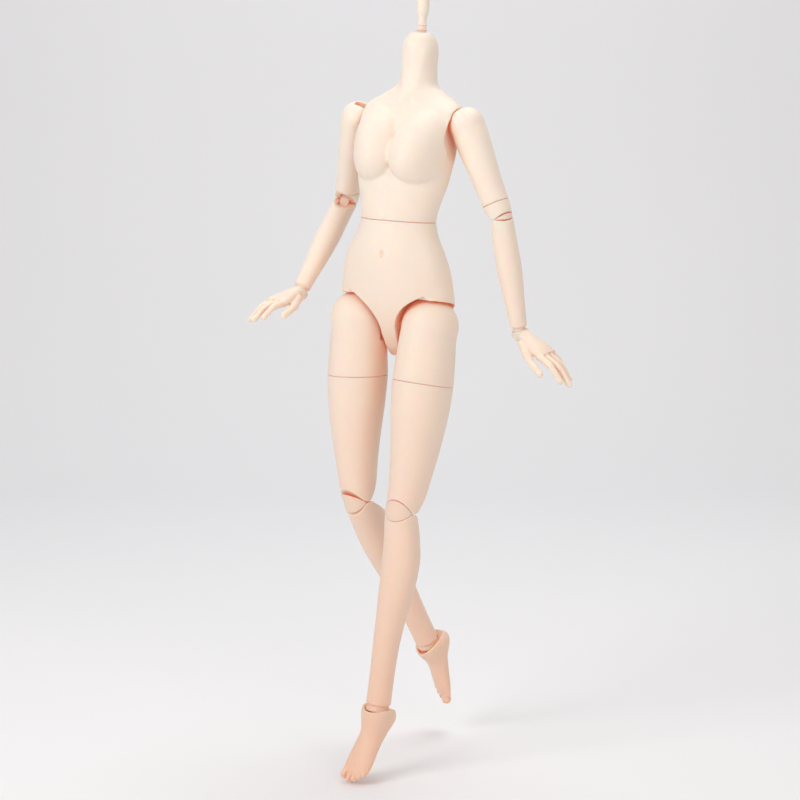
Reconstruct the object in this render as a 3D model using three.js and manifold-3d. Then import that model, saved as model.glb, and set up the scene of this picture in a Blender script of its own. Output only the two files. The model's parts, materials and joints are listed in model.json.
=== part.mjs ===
// Ball jointed doll body without its head, held up by the head peg.
// Lengths are in millimetres, +Z is up, the chest faces -Y and +X is the doll's left side.
// The origin is the centre of the flat top of the head peg.
import * as THREE from 'three';
import { mergeVertices } from 'three/addons/utils/BufferGeometryUtils.js';
import Module from 'manifold-3d';

const wasm = await Module();
wasm.setup();

// Fits shared by all pieces
const gap = 0.3;
const seam = 0.3;
const over = 1;
const reach = 40;
const formSpan = 100;
const roundSides = 16;
const pinSides = 8;
const arcSteps = 5;

// Trunk
const waistDrop = 139.5;
const trunkSides = 32;
const shoulderSide = 46.2;
const shoulderForward = 6.3;
const shoulderDrop = 66.3;
const hipSide = 30.8;
const hipForward = 15.4;
const hipDrop = 217;
const bustSide = 19.5;
const bustDrop = 91;
const bustReach = 13.4;
const bustFullnessShare = 0.8;
const bustWide = 21;
const bustBelow = 20;
const bustAbove = 36;
const navelDrop = 164;
const navelDepth = 1.7;
const navelWide = 1.7;
const navelHigh = 3.4;
const waistPostRadius = 12;
const waistPostHeight = 16;
const waistLipRadius = 14;
const waistLipHeight = 4;

// Neck and head peg
const neckBallDrop = 12;
const neckBallRadius = 7.6;
const neckBallTop = 6.2;
const neckSlotHalf = 4.4;
const neckSlotLength = 14.6;
const neckPinRadius = 1.4;
const neckPinHalf = 10.4;
const pegTailRadius = 3;
const pegTailFoot = 2.6;
const pegTop = 30;
const pegStemRadius = 3.5;
const pegNeckRadius = 3.2;
const pegBulbRadius = 4.6;
const pegCrownRadius = 4;
const pegRingRadius = 4;
const pegRingHeight = 1;
const pegRingLow = 2;
const pegRingHigh = 5.5;
const pegBulbLow = 13;
const pegBulbHigh = 22;

// Arms
const upperArmLength = 73.2;
const foreArmLength = 87.2;
const armSeamShare = 0.84;
const armSeamDrop = armSeamShare * upperArmLength;
const armSides = 16;
const armHeadRadius = 13.4;
const armSocketRadius = 13.9;
const armSocketTilt = 12;
// Openings of a socket: swing in degrees and extra radius
const armSocketOpenings = [[-42, 0], [-20, 0], [2, 0], [26, 0], [50, 0]];

// Legs
const thighLength = 140.6;
const shinLength = 155.2;
const legSeamShare = 0.306;
const legSeamDrop = legSeamShare * thighLength;
const legSides = 18;
const legHeadRadius = 20.8;
const hipSocketRadius = 24.2;
const hipSocketTilt = 4;
const hipSocketOpenings = [[-25, 0], [-5, 0], [16, 0.8], [37, 2], [58, 3]];

// Section tables, each row in shares of formSpan:
// drop, half width, front depth, back depth, forward shift, squareness, outward shift
const trunkShares = [
  [0, 0.08, 0.08, 0.08, 0, 1, 0],
  [0.015, 0.095, 0.095, 0.095, 0, 1, 0],
  [0.04, 0.113, 0.113, 0.113, 0, 1, 0],
  [0.08, 0.129, 0.129, 0.129, 0, 1, 0],
  [0.13, 0.137, 0.137, 0.137, 0, 1, 0],
  [0.3, 0.139, 0.136, 0.138, 0, 1, 0],
  [0.39, 0.165, 0.14, 0.148, 0.002, 1, 0],
  [0.455, 0.265, 0.15, 0.168, 0.01, 1, 0],
  [0.52, 0.37, 0.168, 0.185, 0.026, 1.02, 0],
  [0.58, 0.415, 0.19, 0.2, 0.044, 1.1, 0],
  [0.66, 0.43, 0.218, 0.212, 0.068, 1.14, 0],
  [0.75, 0.42, 0.242, 0.217, 0.086, 1.12, 0],
  [0.86, 0.395, 0.262, 0.215, 0.105, 1.06, 0],
  [0.98, 0.38, 0.264, 0.208, 0.122, 1.02, 0],
  [1.1, 0.364, 0.248, 0.206, 0.142, 1, 0],
  [1.22, 0.332, 0.23, 0.208, 0.165, 1, 0],
  [1.32, 0.306, 0.221, 0.214, 0.18, 1, 0],
  [1.395, 0.3, 0.22, 0.22, 0.1845, 1, 0],
  [1.5, 0.33, 0.229, 0.224, 0.185, 1, 0],
  [1.62, 0.388, 0.245, 0.236, 0.178, 1, 0],
  [1.74, 0.43, 0.262, 0.246, 0.156, 1, 0],
  [1.86, 0.452, 0.256, 0.258, 0.14, 1.02, 0],
  [1.98, 0.464, 0.236, 0.27, 0.127, 1.05, 0],
  [2.1, 0.466, 0.194, 0.278, 0.122, 1.06, 0],
  [2.2, 0.44, 0.142, 0.268, 0.12, 1.04, 0],
  [2.29, 0.355, 0.092, 0.232, 0.118, 1, 0],
  [2.37, 0.22, 0.056, 0.165, 0.114, 1, 0],
  [2.43, 0.07, 0.03, 0.065, 0.105, 1, 0],
];
// Loft spans of the trunk: share from, share to, number of rings
const trunkSpanShares = [
  [0, 0.12, 3],
  [0.12, 0.35, 1],
  [0.35, 0.58, 4],
  [0.58, 1.16, 12],
  [1.16, 1.4, 3],
  [1.4, 2.1, 7],
  [2.1, 2.43, 5],
];
const armShares = [
  [0, 0.131, 0.131, 0.131, 0, 1, 0],
  [0.12, 0.13, 0.133, 0.13, 0, 1, 0],
  [0.25, 0.122, 0.128, 0.122, 0, 1, 0],
  [0.4, 0.11, 0.116, 0.111, 0, 1, 0],
  [0.52, 0.103, 0.108, 0.104, 0, 1, 0],
  [0.615, 0.101, 0.103, 0.102, 0, 1, 0],
  [0.732, 0.091, 0.093, 0.092, 0, 1, 0],
  [0.82, 0.089, 0.091, 0.09, 0, 1, 0],
  [0.95, 0.092, 0.095, 0.091, 0, 1, 0],
  [1.08, 0.095, 0.096, 0.092, 0, 1, 0],
  [1.22, 0.088, 0.088, 0.086, 0, 1, 0],
  [1.38, 0.075, 0.073, 0.073, 0, 1, 0],
  [1.5, 0.067, 0.065, 0.065, 0, 1, 0],
  [1.604, 0.062, 0.061, 0.061, 0, 1, 0],
];
const legShares = [
  [0, 0.205, 0.205, 0.205, 0, 1, 0],
  [0.12, 0.214, 0.216, 0.215, 0, 1, 0],
  [0.25, 0.223, 0.227, 0.224, 0, 1, 0.004],
  [0.42, 0.231, 0.235, 0.23, 0, 1, 0.01],
  [0.62, 0.222, 0.228, 0.218, 0, 1, 0.02],
  [0.8, 0.201, 0.21, 0.198, 0, 1, 0.026],
  [0.96, 0.18, 0.189, 0.178, 0, 1, 0.028],
  [1.1, 0.162, 0.171, 0.164, 0, 1, 0.025],
  [1.24, 0.146, 0.155, 0.15, 0, 1, 0.018],
  [1.34, 0.138, 0.144, 0.141, 0, 1, 0.009],
  [1.406, 0.134, 0.136, 0.135, 0, 1, 0.003],
  [1.5, 0.132, 0.13, 0.138, 0, 1, 0.006],
  [1.6, 0.135, 0.124, 0.154, 0, 1, 0.018],
  [1.74, 0.141, 0.12, 0.176, 0, 1, 0.03],
  [1.9, 0.137, 0.12, 0.173, 0, 1, 0.03],
  [2.05, 0.127, 0.116, 0.154, 0, 1, 0.022],
  [2.22, 0.113, 0.108, 0.13, 0, 1, 0.012],
  [2.4, 0.102, 0.102, 0.108, 0, 1, 0.003],
  [2.58, 0.096, 0.096, 0.098, 0, 1, 0],
  [2.75, 0.094, 0.094, 0.094, 0, 1, 0],
  [2.958, 0.096, 0.096, 0.096, 0, 1, 0],
];

// Ball links: an axle into the body and a tongue that the limb's pin runs through
const shoulderLink = {
  axleRadius: 3, axleInner: 30, flangeRadius: 4.6, flangeLength: 2, tongueRadius: 5.2,
  pinRadius: 1.3, pinHalf: 10, low: 28, high: 95,
};
const hipLink = {
  axleRadius: 4, axleInner: 30.3, flangeRadius: 6.6, flangeLength: 1.5, tongueRadius: 7.5,
  pinRadius: 1.8, pinHalf: 17, low: 32, high: 70,
};

// Double hinges: a link on two pins between two noses, with a wedge on the side that stops
const knee = {
  side: 1, pinShift: 3.3, pinRise: 5.4, noseRadius: 5.1, stopSlope: 44, freeSlope: 55,
  plateRadius: 4.2, plateHalf: 4.4, pinRadius: 1.5, pinHalf: 9.6, openTurn: 60,
};
const elbow = {
  side: -1, pinShift: 2, pinRise: 4.6, noseRadius: 4.3, stopSlope: 18, freeSlope: 54,
  plateRadius: 4, plateHalf: 3.6, pinRadius: 1.1, pinHalf: 6.6, openTurn: 70,
};

// Swivels: a spigot on the lower piece in a bore of the upper piece
const armSwivel = { radius: 4.6, height: 13, lip: 5.6, lipHeight: 2.4 };
const legSwivel = { radius: 9, height: 13, lip: 11, lipHeight: 3 };

// End links: a peg that turns in the limb and an eye that the foot or hand bends on
const ankle = {
  endRadius: 9.6, cupRadius: 10, endLift: 1.9, cupFloor: 2.4, eyeRadius: 4.4, eyeHalf: 2.4,
  pegRadius: 3, pegHeight: 17, pocketRadius: 5.1, pocketHeight: 5.2, pinRadius: 1.3, pinHalf: 11,
};
const wrist = {
  endRadius: 5.5, cupRadius: 5.85, endLift: 1.2, cupFloor: 1.8, eyeRadius: 2.9, eyeHalf: 1.5,
  pegRadius: 2, pegHeight: 12, pocketRadius: 3.4, pocketHeight: 3.6, pinRadius: 0.9, pinHalf: 5.9,
};

// Foot and hand
const footShares = [
  [-0.062, 0.112, 0.1, 0.104, 0, 1, 0],
  [-0.03, 0.124, 0.112, 0.138, 0, 1, 0],
  [0.01, 0.126, 0.118, 0.168, 0, 1, 0],
  [0.05, 0.119, 0.116, 0.174, 0, 1, 0],
  [0.1, 0.109, 0.112, 0.138, 0, 1, 0],
  [0.15, 0.103, 0.118, 0.074, 0, 1, 0],
  [0.21, 0.102, 0.09, 0.08, 0.045, 1, 0],
  [0.29, 0.108, 0.075, 0.072, 0.09, 1.05, 0],
  [0.37, 0.115, 0.062, 0.06, 0.13, 1.08, 0],
  [0.43, 0.113, 0.046, 0.046, 0.163, 1.1, 0],
  [0.46, 0.1, 0.034, 0.034, 0.178, 1.1, 0],
];
// side, drop of root, drop of tip, forward of root, forward of tip, radius
const toeShares = [
  [-0.074, 0.43, 0.508, 0.168, 0.198, 0.036],
  [-0.024, 0.43, 0.516, 0.176, 0.206, 0.025],
  [0.018, 0.43, 0.505, 0.174, 0.202, 0.0235],
  [0.056, 0.42, 0.486, 0.168, 0.194, 0.022],
  [0.089, 0.405, 0.458, 0.155, 0.18, 0.021],
];
const footRings = 11;
const palmRings = 4;
const footCupTop = 1.6;
const footEarTop = 6;
const handBend = 45;
const palmShares = [
  [0.03, 0.06, 0.056, 0.056, 0, 1, 0],
  [0.08, 0.068, 0.054, 0.052, 0, 1.05, 0],
  [0.15, 0.086, 0.05, 0.048, 0, 1.12, 0],
  [0.22, 0.1, 0.046, 0.042, 0, 1.16, 0],
  [0.285, 0.104, 0.036, 0.034, 0, 1.16, 0],
];
// Finger paths: side, drop and forward of root, middle and tip, root and tip radius
const fingerShares = [
  [-0.076, 0.26, 0, -0.094, 0.4, -0.006, -0.1, 0.515, 0.036, 0.031, 0.022],
  [-0.027, 0.27, 0, -0.034, 0.43, -0.004, -0.042, 0.565, 0.044, 0.031, 0.022],
  [0.025, 0.265, 0, 0.04, 0.4, 0.012, 0.046, 0.515, 0.07, 0.029, 0.021],
  [0.072, 0.25, 0.002, 0.096, 0.35, 0.028, 0.1, 0.44, 0.09, 0.026, 0.019],
  [-0.05, 0.08, 0.02, -0.125, 0.22, 0.045, -0.165, 0.37, 0.06, 0.042, 0.026],
];

// Rest pose in degrees, left then right
const trunkRoll = 4;
const pose = {
  left: {
    swing: -2.4, spread: 25.4, armTurn: -115, elbowHigh: -8.3, elbowLow: -8.3, wristTurn: 192, wristBend: -5,
    hipSwing: -7.5, hipSpread: -1.6, thighTurn: -6, kneeHigh: 1.2, kneeLow: 1.2, ankleTurn: -7, ankleBend: 0,
  },
  right: {
    swing: -22.6, spread: 17.4, armTurn: -4.4, elbowHigh: -28.8, elbowLow: -28.8, wristTurn: 27, wristBend: 5,
    hipSwing: 0.8, hipSpread: -3.7, thighTurn: 15, kneeHigh: 15.7, kneeLow: 15.7, ankleTurn: 25, ankleBend: 14,
  },
};

const alongX = new THREE.Vector3(1, 0, 0);
const alongY = new THREE.Vector3(0, 1, 0);
const alongZ = new THREE.Vector3(0, 0, 1);

// Solids
function solidOf(geometry) {
  const bare = geometry.clone();
  bare.deleteAttribute('normal');
  bare.deleteAttribute('uv');
  const merged = mergeVertices(bare, gap / formSpan);
  const triVerts = Uint32Array.from(merged.index.array);
  const vertProperties = Float32Array.from(merged.attributes.position.array);
  return new wasm.Manifold(new wasm.Mesh({ numProp: 3, vertProperties, triVerts }));
}

function geometryOf(solid) {
  const mesh = solid.getMesh();
  const geometry = new THREE.BufferGeometry();
  const points = new Float32Array(mesh.vertProperties);
  geometry.setAttribute('position', new THREE.BufferAttribute(points, 3));
  geometry.setIndex(new THREE.BufferAttribute(new Uint32Array(mesh.triVerts), 1));
  const faceted = geometry.toNonIndexed();
  faceted.computeVertexNormals();
  return faceted;
}

function mirrored(geometry) {
  const flipped = geometry.clone();
  const points = flipped.attributes.position;
  for (let corner = 0; corner < points.count; corner += 3) {
    const second = new THREE.Vector3().fromBufferAttribute(points, corner + 1);
    const third = new THREE.Vector3().fromBufferAttribute(points, corner + 2);
    points.setXYZ(corner, -points.getX(corner), points.getY(corner), points.getZ(corner));
    points.setXYZ(corner + 1, -third.x, third.y, third.z);
    points.setXYZ(corner + 2, -second.x, second.y, second.z);
  }
  flipped.computeVertexNormals();
  return flipped;
}

function moved(geometry, x, y, z) {
  return geometry.clone().translate(x, y, z);
}

function rod(radius, from, to, axis, sides = roundSides) {
  const geometry = new THREE.CylinderGeometry(radius, radius, to - from, sides, 1);
  geometry.translate(0, (from + to) / 2, 0);
  if (axis === 'x') geometry.rotateZ(-Math.PI / 2);
  if (axis === 'z') geometry.rotateX(Math.PI / 2);
  return geometry;
}

function ball(radius, sides = roundSides) {
  return new THREE.SphereGeometry(radius, sides, Math.round(sides / 2)).rotateX(Math.PI / 2);
}

function turned(profile, sides = roundSides) {
  const points = profile.map(([radius, height]) => new THREE.Vector2(radius, height));
  return new THREE.LatheGeometry(points, sides).rotateX(Math.PI / 2);
}

// A plate whose outline lies in the YZ plane, thick along X
function plateYZ(outline, half) {
  const shape = new THREE.Shape(outline.map(([y, z]) => new THREE.Vector2(y, z)));
  const geometry = new THREE.ExtrudeGeometry(shape, { depth: 2 * half, bevelEnabled: false });
  geometry.translate(0, 0, -half);
  return geometry.applyMatrix4(new THREE.Matrix4().makeBasis(alongY, alongZ, alongX));
}

// A plate whose outline lies in the XZ plane, thick along Y
function plateXZ(outline, half) {
  const shape = new THREE.Shape(outline.map(([x, z]) => new THREE.Vector2(x, z)));
  const geometry = new THREE.ExtrudeGeometry(shape, { depth: 2 * half, bevelEnabled: false });
  geometry.translate(0, 0, -half);
  const back = alongY.clone().negate();
  return geometry.applyMatrix4(new THREE.Matrix4().makeBasis(alongX, alongZ, back));
}

// Section table read at any drop, smooth through its rows
function sectionAt(shares, drop) {
  let low = 0;
  while (low < shares.length - 2 && shares[low + 1][0] < drop) low += 1;
  const start = shares[low];
  const end = shares[low + 1];
  const before = shares[Math.max(low - 1, 0)];
  const after = shares[Math.min(low + 2, shares.length - 1)];
  const span = end[0] - start[0];
  const t = Math.min(Math.max((drop - start[0]) / span, 0), 1);
  return start.map((value, column) => {
    const slopeStart = (end[column] - before[column]) / (end[0] - before[0]);
    const slopeEnd = (after[column] - start[column]) / (after[0] - start[0]);
    const rise = end[column] - value;
    const bend = slopeStart * span - rise;
    const counter = rise - slopeEnd * span;
    return value + t * rise + t * (1 - t) * ((1 - t) * bend + t * counter);
  });
}

function ringOf(row, sides, length, relief) {
  const points = [];
  for (let side = 0; side < sides; side += 1) {
    const angle = (2 * Math.PI * side) / sides;
    const across = Math.cos(angle);
    const along = Math.sin(angle);
    const power = 1 / row[5];
    const depth = along > 0 ? row[3] : row[2];
    const x = (Math.sign(across) * Math.abs(across) ** power * row[1] + row[6]) * formSpan;
    const y = (Math.sign(along) * Math.abs(along) ** power * depth - row[4]) * formSpan;
    const point = new THREE.Vector3(x, y, -row[0] * length);
    if (relief) relief(point, along);
    points.push(point);
  }
  return points;
}

function skin(rings) {
  const sides = rings[0].length;
  const positions = rings.flat().flatMap((point) => point.toArray());
  const faces = [];
  for (let level = 0; level < rings.length - 1; level += 1) {
    for (let side = 0; side < sides; side += 1) {
      const next = (side + 1) % sides;
      const a = level * sides + side;
      const b = level * sides + next;
      const c = a + sides;
      const d = b + sides;
      faces.push(a, c, b, b, c, d);
    }
  }
  for (const level of [0, rings.length - 1]) {
    const middle = rings[level].reduce((sum, point) => sum.add(point), new THREE.Vector3());
    middle.divideScalar(sides);
    const centre = positions.length / 3;
    positions.push(middle.x, middle.y, middle.z);
    for (let side = 0; side < sides; side += 1) {
      const a = level * sides + side;
      const b = level * sides + ((side + 1) % sides);
      if (level === 0) faces.push(centre, a, b);
      else faces.push(centre, b, a);
    }
  }
  const geometry = new THREE.BufferGeometry();
  geometry.setAttribute('position', new THREE.Float32BufferAttribute(positions, 3));
  geometry.setIndex(faces);
  return geometry;
}

// Loft through the table; spans hold share from, share to and number of rings,
// and length is what a drop of one share stands for
function form(shares, spans, sides, length, relief) {
  const levels = [ringOf(sectionAt(shares, spans[0][0]), sides, length, relief)];
  for (const [from, to, rings] of spans) {
    for (let ring = 1; ring <= rings; ring += 1) {
      const row = sectionAt(shares, from + ((to - from) * ring) / rings);
      levels.push(ringOf(row, sides, length, relief));
    }
  }
  return skin(levels);
}

// Round limb that follows a path with a rounded tip
function finger(path, rootRadius, tipRadius, sides, steps) {
  const curve = new THREE.CatmullRomCurve3(path);
  const rings = [];
  for (let step = 0; step <= steps; step += 1) {
    const share = step / steps;
    const middle = curve.getPointAt(share);
    const ahead = curve.getTangentAt(share);
    const across = new THREE.Vector3().crossVectors(alongY, ahead).normalize();
    const up = new THREE.Vector3().crossVectors(ahead, across).normalize();
    const radius = rootRadius + (tipRadius - rootRadius) * share;
    rings.push(roundRing(middle, across, up, radius, sides));
  }
  const tip = curve.getPointAt(1);
  const ahead = curve.getTangentAt(1);
  const across = new THREE.Vector3().crossVectors(alongY, ahead).normalize();
  const up = new THREE.Vector3().crossVectors(ahead, across).normalize();
  for (const turn of [Math.PI / 5, Math.PI / 2.7]) {
    const middle = tip.clone().addScaledVector(ahead, tipRadius * Math.sin(turn));
    rings.push(roundRing(middle, across, up, tipRadius * Math.cos(turn), sides));
  }
  return skin(rings);
}

function roundRing(middle, across, up, radius, sides) {
  const points = [];
  for (let side = 0; side < sides; side += 1) {
    const angle = (2 * Math.PI * side) / sides;
    const point = middle.clone().addScaledVector(across, radius * Math.cos(angle));
    points.push(point.addScaledVector(up, -radius * Math.sin(angle)));
  }
  return points;
}

// Ball link, its pin and the slot that it needs in the limb's head
function ballLink(link) {
  const flangeEnd = link.axleInner - link.flangeLength;
  const axle = solidOf(rod(link.axleRadius, -link.axleInner + gap, -link.tongueRadius / 2, 'x'));
  const flange = solidOf(rod(link.flangeRadius, -link.axleInner, -flangeEnd, 'x'));
  const tongue = solidOf(rod(link.tongueRadius, -link.axleRadius, link.axleRadius, 'y'));
  const hole = solidOf(rod(link.pinRadius + gap, -reach, reach, 'y', pinSides));
  return axle.add(flange).add(tongue).subtract(hole);
}

function ballPin(link) {
  return solidOf(rod(link.pinRadius, -link.pinHalf, link.pinHalf, 'y', pinSides));
}

function ballSlot(link) {
  const half = link.axleRadius + gap;
  const low = THREE.MathUtils.degToRad(link.low);
  const high = THREE.MathUtils.degToRad(link.high);
  const outline = [[half * -Math.sin(low), -half * Math.cos(low)]];
  for (let step = 0; step <= arcSteps; step += 1) {
    const turn = -low + ((high + low) * step) / arcSteps;
    outline.push([-reach * Math.cos(turn), reach * Math.sin(turn)]);
  }
  outline.push([half * Math.sin(high), half * Math.cos(high)]);
  outline[1][0] += half * -Math.sin(low);
  outline[1][1] -= half * Math.cos(low);
  outline[arcSteps + 1][0] += half * Math.sin(high);
  outline[arcSteps + 1][1] += half * Math.cos(high);
  const slot = solidOf(plateXZ(outline, half));
  const room = solidOf(rod(link.tongueRadius + gap, -half, half, 'y'));
  const pinEnd = link.pinHalf + gap;
  const hole = solidOf(rod(link.pinRadius + gap, -pinEnd, pinEnd, 'y', pinSides));
  return slot.add(room).add(hole);
}

function ballBore(link, side) {
  const flangeEnd = link.axleInner - link.flangeLength - gap;
  const bore = rod(link.axleRadius + gap, -link.axleInner, -link.tongueRadius, 'x');
  const pocket = rod(link.flangeRadius + gap, -link.axleInner - gap, -flangeEnd, 'x');
  const cut = solidOf(bore).add(solidOf(pocket));
  return side > 0 ? geometryOf(cut) : mirrored(geometryOf(cut));
}

// Double hinge profiles in the YZ plane around the joint's centre; end is +1 for the upper nose
function noseOutline(hinge, end) {
  const stop = THREE.MathUtils.degToRad(hinge.stopSlope);
  const free = THREE.MathUtils.degToRad(hinge.freeSlope);
  const outline = [];
  const put = (y, z) => outline.push([hinge.side * y, end * z]);
  const frontY = -hinge.pinShift - hinge.noseRadius * Math.sin(stop);
  const frontZ = hinge.pinRise - hinge.noseRadius * Math.cos(stop);
  const backY = -hinge.pinShift + hinge.noseRadius * Math.sin(free);
  const backZ = hinge.pinRise - hinge.noseRadius * Math.cos(free);
  put(-reach, reach * formSpan);
  put(-reach, frontZ + Math.tan(stop) * (frontY + reach));
  for (let step = 0; step <= arcSteps; step += 1) {
    const turn = -stop + ((stop + free) * step) / arcSteps;
    const y = -hinge.pinShift + hinge.noseRadius * Math.sin(turn);
    put(y, hinge.pinRise - hinge.noseRadius * Math.cos(turn));
  }
  put(reach, backZ + Math.tan(free) * (reach - backY));
  put(reach, reach * formSpan);
  return outline;
}

function wedgeOutline(hinge) {
  const stop = THREE.MathUtils.degToRad(hinge.stopSlope);
  const radius = hinge.noseRadius + gap;
  const faceY = -hinge.pinShift - radius * Math.sin(stop);
  const faceZ = hinge.pinRise - radius * Math.cos(stop);
  const rise = faceZ + Math.tan(stop) * (faceY + reach);
  const tip = faceY + faceZ / Math.tan(stop);
  return [[hinge.side * tip, 0], [-hinge.side * reach, rise], [-hinge.side * reach, -rise]];
}

function hingeLink(hinge, limb) {
  const wedge = wedgeOutline(hinge);
  const pinY = -hinge.side * hinge.pinShift;
  const plate = [];
  for (const end of [1, -1]) {
    for (let step = 0; step <= 2 * arcSteps; step += 1) {
      const turn = (Math.PI * step) / (2 * arcSteps);
      const y = end * hinge.plateRadius * Math.cos(turn);
      plate.push([pinY + y, end * (hinge.pinRise + hinge.plateRadius * Math.sin(turn))]);
    }
  }
  let cap = solidOf(plateYZ(wedge, reach)).intersect(limb);
  const pinHole = [];
  for (const end of [1, -1]) {
    const nose = rod(hinge.noseRadius + gap, -reach, reach, 'x', legSides);
    cap = cap.subtract(solidOf(moved(nose, 0, pinY, end * hinge.pinRise)));
    const hole = rod(hinge.pinRadius + gap, -reach, reach, 'x', pinSides);
    pinHole.push(solidOf(moved(hole, 0, pinY, end * hinge.pinRise)));
  }
  const web = solidOf(plateYZ(wedge, hinge.plateHalf)).intersect(limb);
  const bar = solidOf(plateYZ(plate, hinge.plateHalf)).intersect(limb);
  return cap.add(web).add(bar).subtract(pinHole[0]).subtract(pinHole[1]);
}

function hingeEnd(hinge, end, limb) {
  const pinY = -hinge.side * hinge.pinShift;
  const pinZ = end * hinge.pinRise;
  const room = hinge.plateRadius + gap;
  const turn = THREE.MathUtils.degToRad(hinge.openTurn);
  const free = pinY + hinge.side * room * Math.cos(turn);
  const slot = [
    [pinY - hinge.side * room, pinZ],
    [pinY - hinge.side * room, -end * reach],
    [hinge.side * reach, -end * reach],
    [hinge.side * reach, pinZ + end * room * Math.sin(turn)],
    [free, pinZ + end * room * Math.sin(turn)],
  ];
  const half = hinge.plateHalf + gap;
  const round = moved(rod(room, -half, half, 'x', legSides), 0, pinY, pinZ);
  const pinEnd = hinge.pinHalf + gap;
  const hole = moved(rod(hinge.pinRadius + gap, -pinEnd, pinEnd, 'x', pinSides), 0, pinY, pinZ);
  const kept = solidOf(plateYZ(noseOutline(hinge, end), reach)).intersect(limb);
  return kept.subtract(solidOf(plateYZ(slot, half))).subtract(solidOf(round)).subtract(solidOf(hole));
}

function hingePin(hinge, end) {
  const pin = rod(hinge.pinRadius, -hinge.pinHalf, hinge.pinHalf, 'x', pinSides);
  return solidOf(moved(pin, 0, -hinge.side * hinge.pinShift, end * hinge.pinRise));
}

// Swivels
function spigot(swivel, drop) {
  const lip = swivel.height - swivel.lipHeight;
  const post = rod(swivel.radius, -drop - over, -drop + swivel.height, 'z');
  const bead = rod(swivel.lip, -drop + lip, -drop + swivel.height, 'z');
  return solidOf(post).add(solidOf(bead));
}

function spigotBore(swivel, drop) {
  const lip = swivel.height - swivel.lipHeight - gap;
  const top = -drop + swivel.height + gap;
  const bore = rod(swivel.radius + gap, -drop - over, top, 'z');
  const bead = rod(swivel.lip + gap, -drop + lip, top, 'z');
  return solidOf(bore).add(solidOf(bead));
}

function slab(top, bottom) {
  const size = 2 * reach * 4;
  return solidOf(moved(new THREE.BoxGeometry(size, size, top - bottom), 0, 0, (top + bottom) / 2));
}

// Ankle and wrist
function endLink(joint) {
  const eye = solidOf(rod(joint.eyeRadius, -joint.eyeHalf, joint.eyeHalf, 'x'));
  const peg = solidOf(rod(joint.pegRadius, 0, joint.pegHeight, 'z'));
  const hole = solidOf(rod(joint.pinRadius + gap, -reach, reach, 'x', pinSides));
  return eye.add(peg).subtract(hole);
}

function endCut(joint) {
  const top = joint.pegHeight + gap;
  const bore = solidOf(rod(joint.pegRadius + gap, -reach, top, 'z'));
  const pocket = solidOf(rod(joint.pocketRadius, -reach, joint.pocketHeight, 'z'));
  return bore.add(pocket);
}

function endRounding(joint) {
  const dome = solidOf(ball(joint.endRadius, legSides));
  const shaft = solidOf(rod(reach, joint.endRadius * 0.6, reach * formSpan, 'z'));
  const cone = [[0, 0], [joint.endRadius * 0.8, joint.endRadius * 0.6], [reach, reach], [0, reach]];
  return dome.add(shaft).add(solidOf(turned(cone, legSides)));
}

function cupCut(joint) {
  const bowl = solidOf(ball(joint.cupRadius, legSides)).subtract(slab(-joint.cupFloor, -reach));
  const slot = rod(joint.eyeRadius + gap, -joint.eyeHalf - gap, joint.eyeHalf + gap, 'x');
  const pinEnd = joint.pinHalf + gap;
  const hole = rod(joint.pinRadius + gap, -pinEnd, pinEnd, 'x', pinSides);
  return bowl.add(solidOf(slot)).add(solidOf(hole));
}

// Bust raised on the front of the trunk
function bustRelief(point, along) {
  if (along >= 0) return;
  const share = Math.min(-along * 2, 1);
  for (const side of [-1, 1]) {
    const across = (point.x - side * bustSide) / bustWide;
    const rise = point.z + bustDrop;
    const up = rise / (rise > 0 ? bustAbove : bustBelow);
    const fill = Math.max(1 - across * across - up * up, 0);
    point.y -= bustReach * share * fill ** bustFullnessShare;
  }
}

const trunkForm = solidOf(form(trunkShares, trunkSpanShares, trunkSides, formSpan, bustRelief));

function chestShell() {
  let chest = trunkForm.intersect(slab(over, -waistDrop + seam / 2));
  for (const side of [-1, 1]) {
    const place = [side * shoulderSide, -shoulderForward, -shoulderDrop];
    const room = socketRoom(armSocketRadius, -side * armSocketTilt, armSocketOpenings);
    chest = chest.subtract(solidOf(moved(room, ...place)));
    chest = chest.subtract(solidOf(moved(ballBore(shoulderLink, side), ...place)));
  }
  const room = moved(ball(neckBallRadius + 2 * gap), 0, 0, -neckBallDrop);
  const slotShape = new THREE.Shape();
  const straight = neckSlotLength / 2 - neckSlotHalf;
  slotShape.absarc(0, straight, neckSlotHalf, 0, Math.PI);
  slotShape.absarc(0, -straight, neckSlotHalf, Math.PI, 2 * Math.PI);
  const slot = new THREE.ExtrudeGeometry(slotShape, {
    depth: neckBallDrop + over, bevelEnabled: false, curveSegments: arcSteps,
  });
  slot.translate(0, 0, -neckBallDrop);
  const pinEnd = neckPinHalf + gap;
  const pin = moved(rod(neckPinRadius + gap, -pinEnd, pinEnd, 'x', pinSides), 0, 0, -neckBallDrop);
  chest = chest.subtract(solidOf(room)).subtract(solidOf(slot)).subtract(solidOf(pin));
  const waistY = -sectionAt(trunkShares, waistDrop / formSpan)[4] * formSpan;
  const top = -waistDrop + waistPostHeight + gap;
  const post = rod(waistPostRadius + gap, -waistDrop - over, top, 'z');
  const lip = rod(waistLipRadius + gap, top - waistLipHeight - 2 * gap, top, 'z');
  return chest.subtract(solidOf(moved(post, 0, waistY, 0)).add(solidOf(moved(lip, 0, waistY, 0))));
}

// Room that a limb needs between its limits: a dome and one round opening for each swing angle
function socketRoom(radius, tilt, openings) {
  const sides = legSides + arcSteps;
  let room = solidOf(ball(radius, sides));
  for (const [turn, extra] of openings) {
    const opening = rod(radius + extra, -reach, 0, 'z', sides);
    opening.rotateY(THREE.MathUtils.degToRad(tilt));
    room = room.add(solidOf(opening.rotateX(-THREE.MathUtils.degToRad(turn))));
  }
  return geometryOf(room);
}

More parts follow.
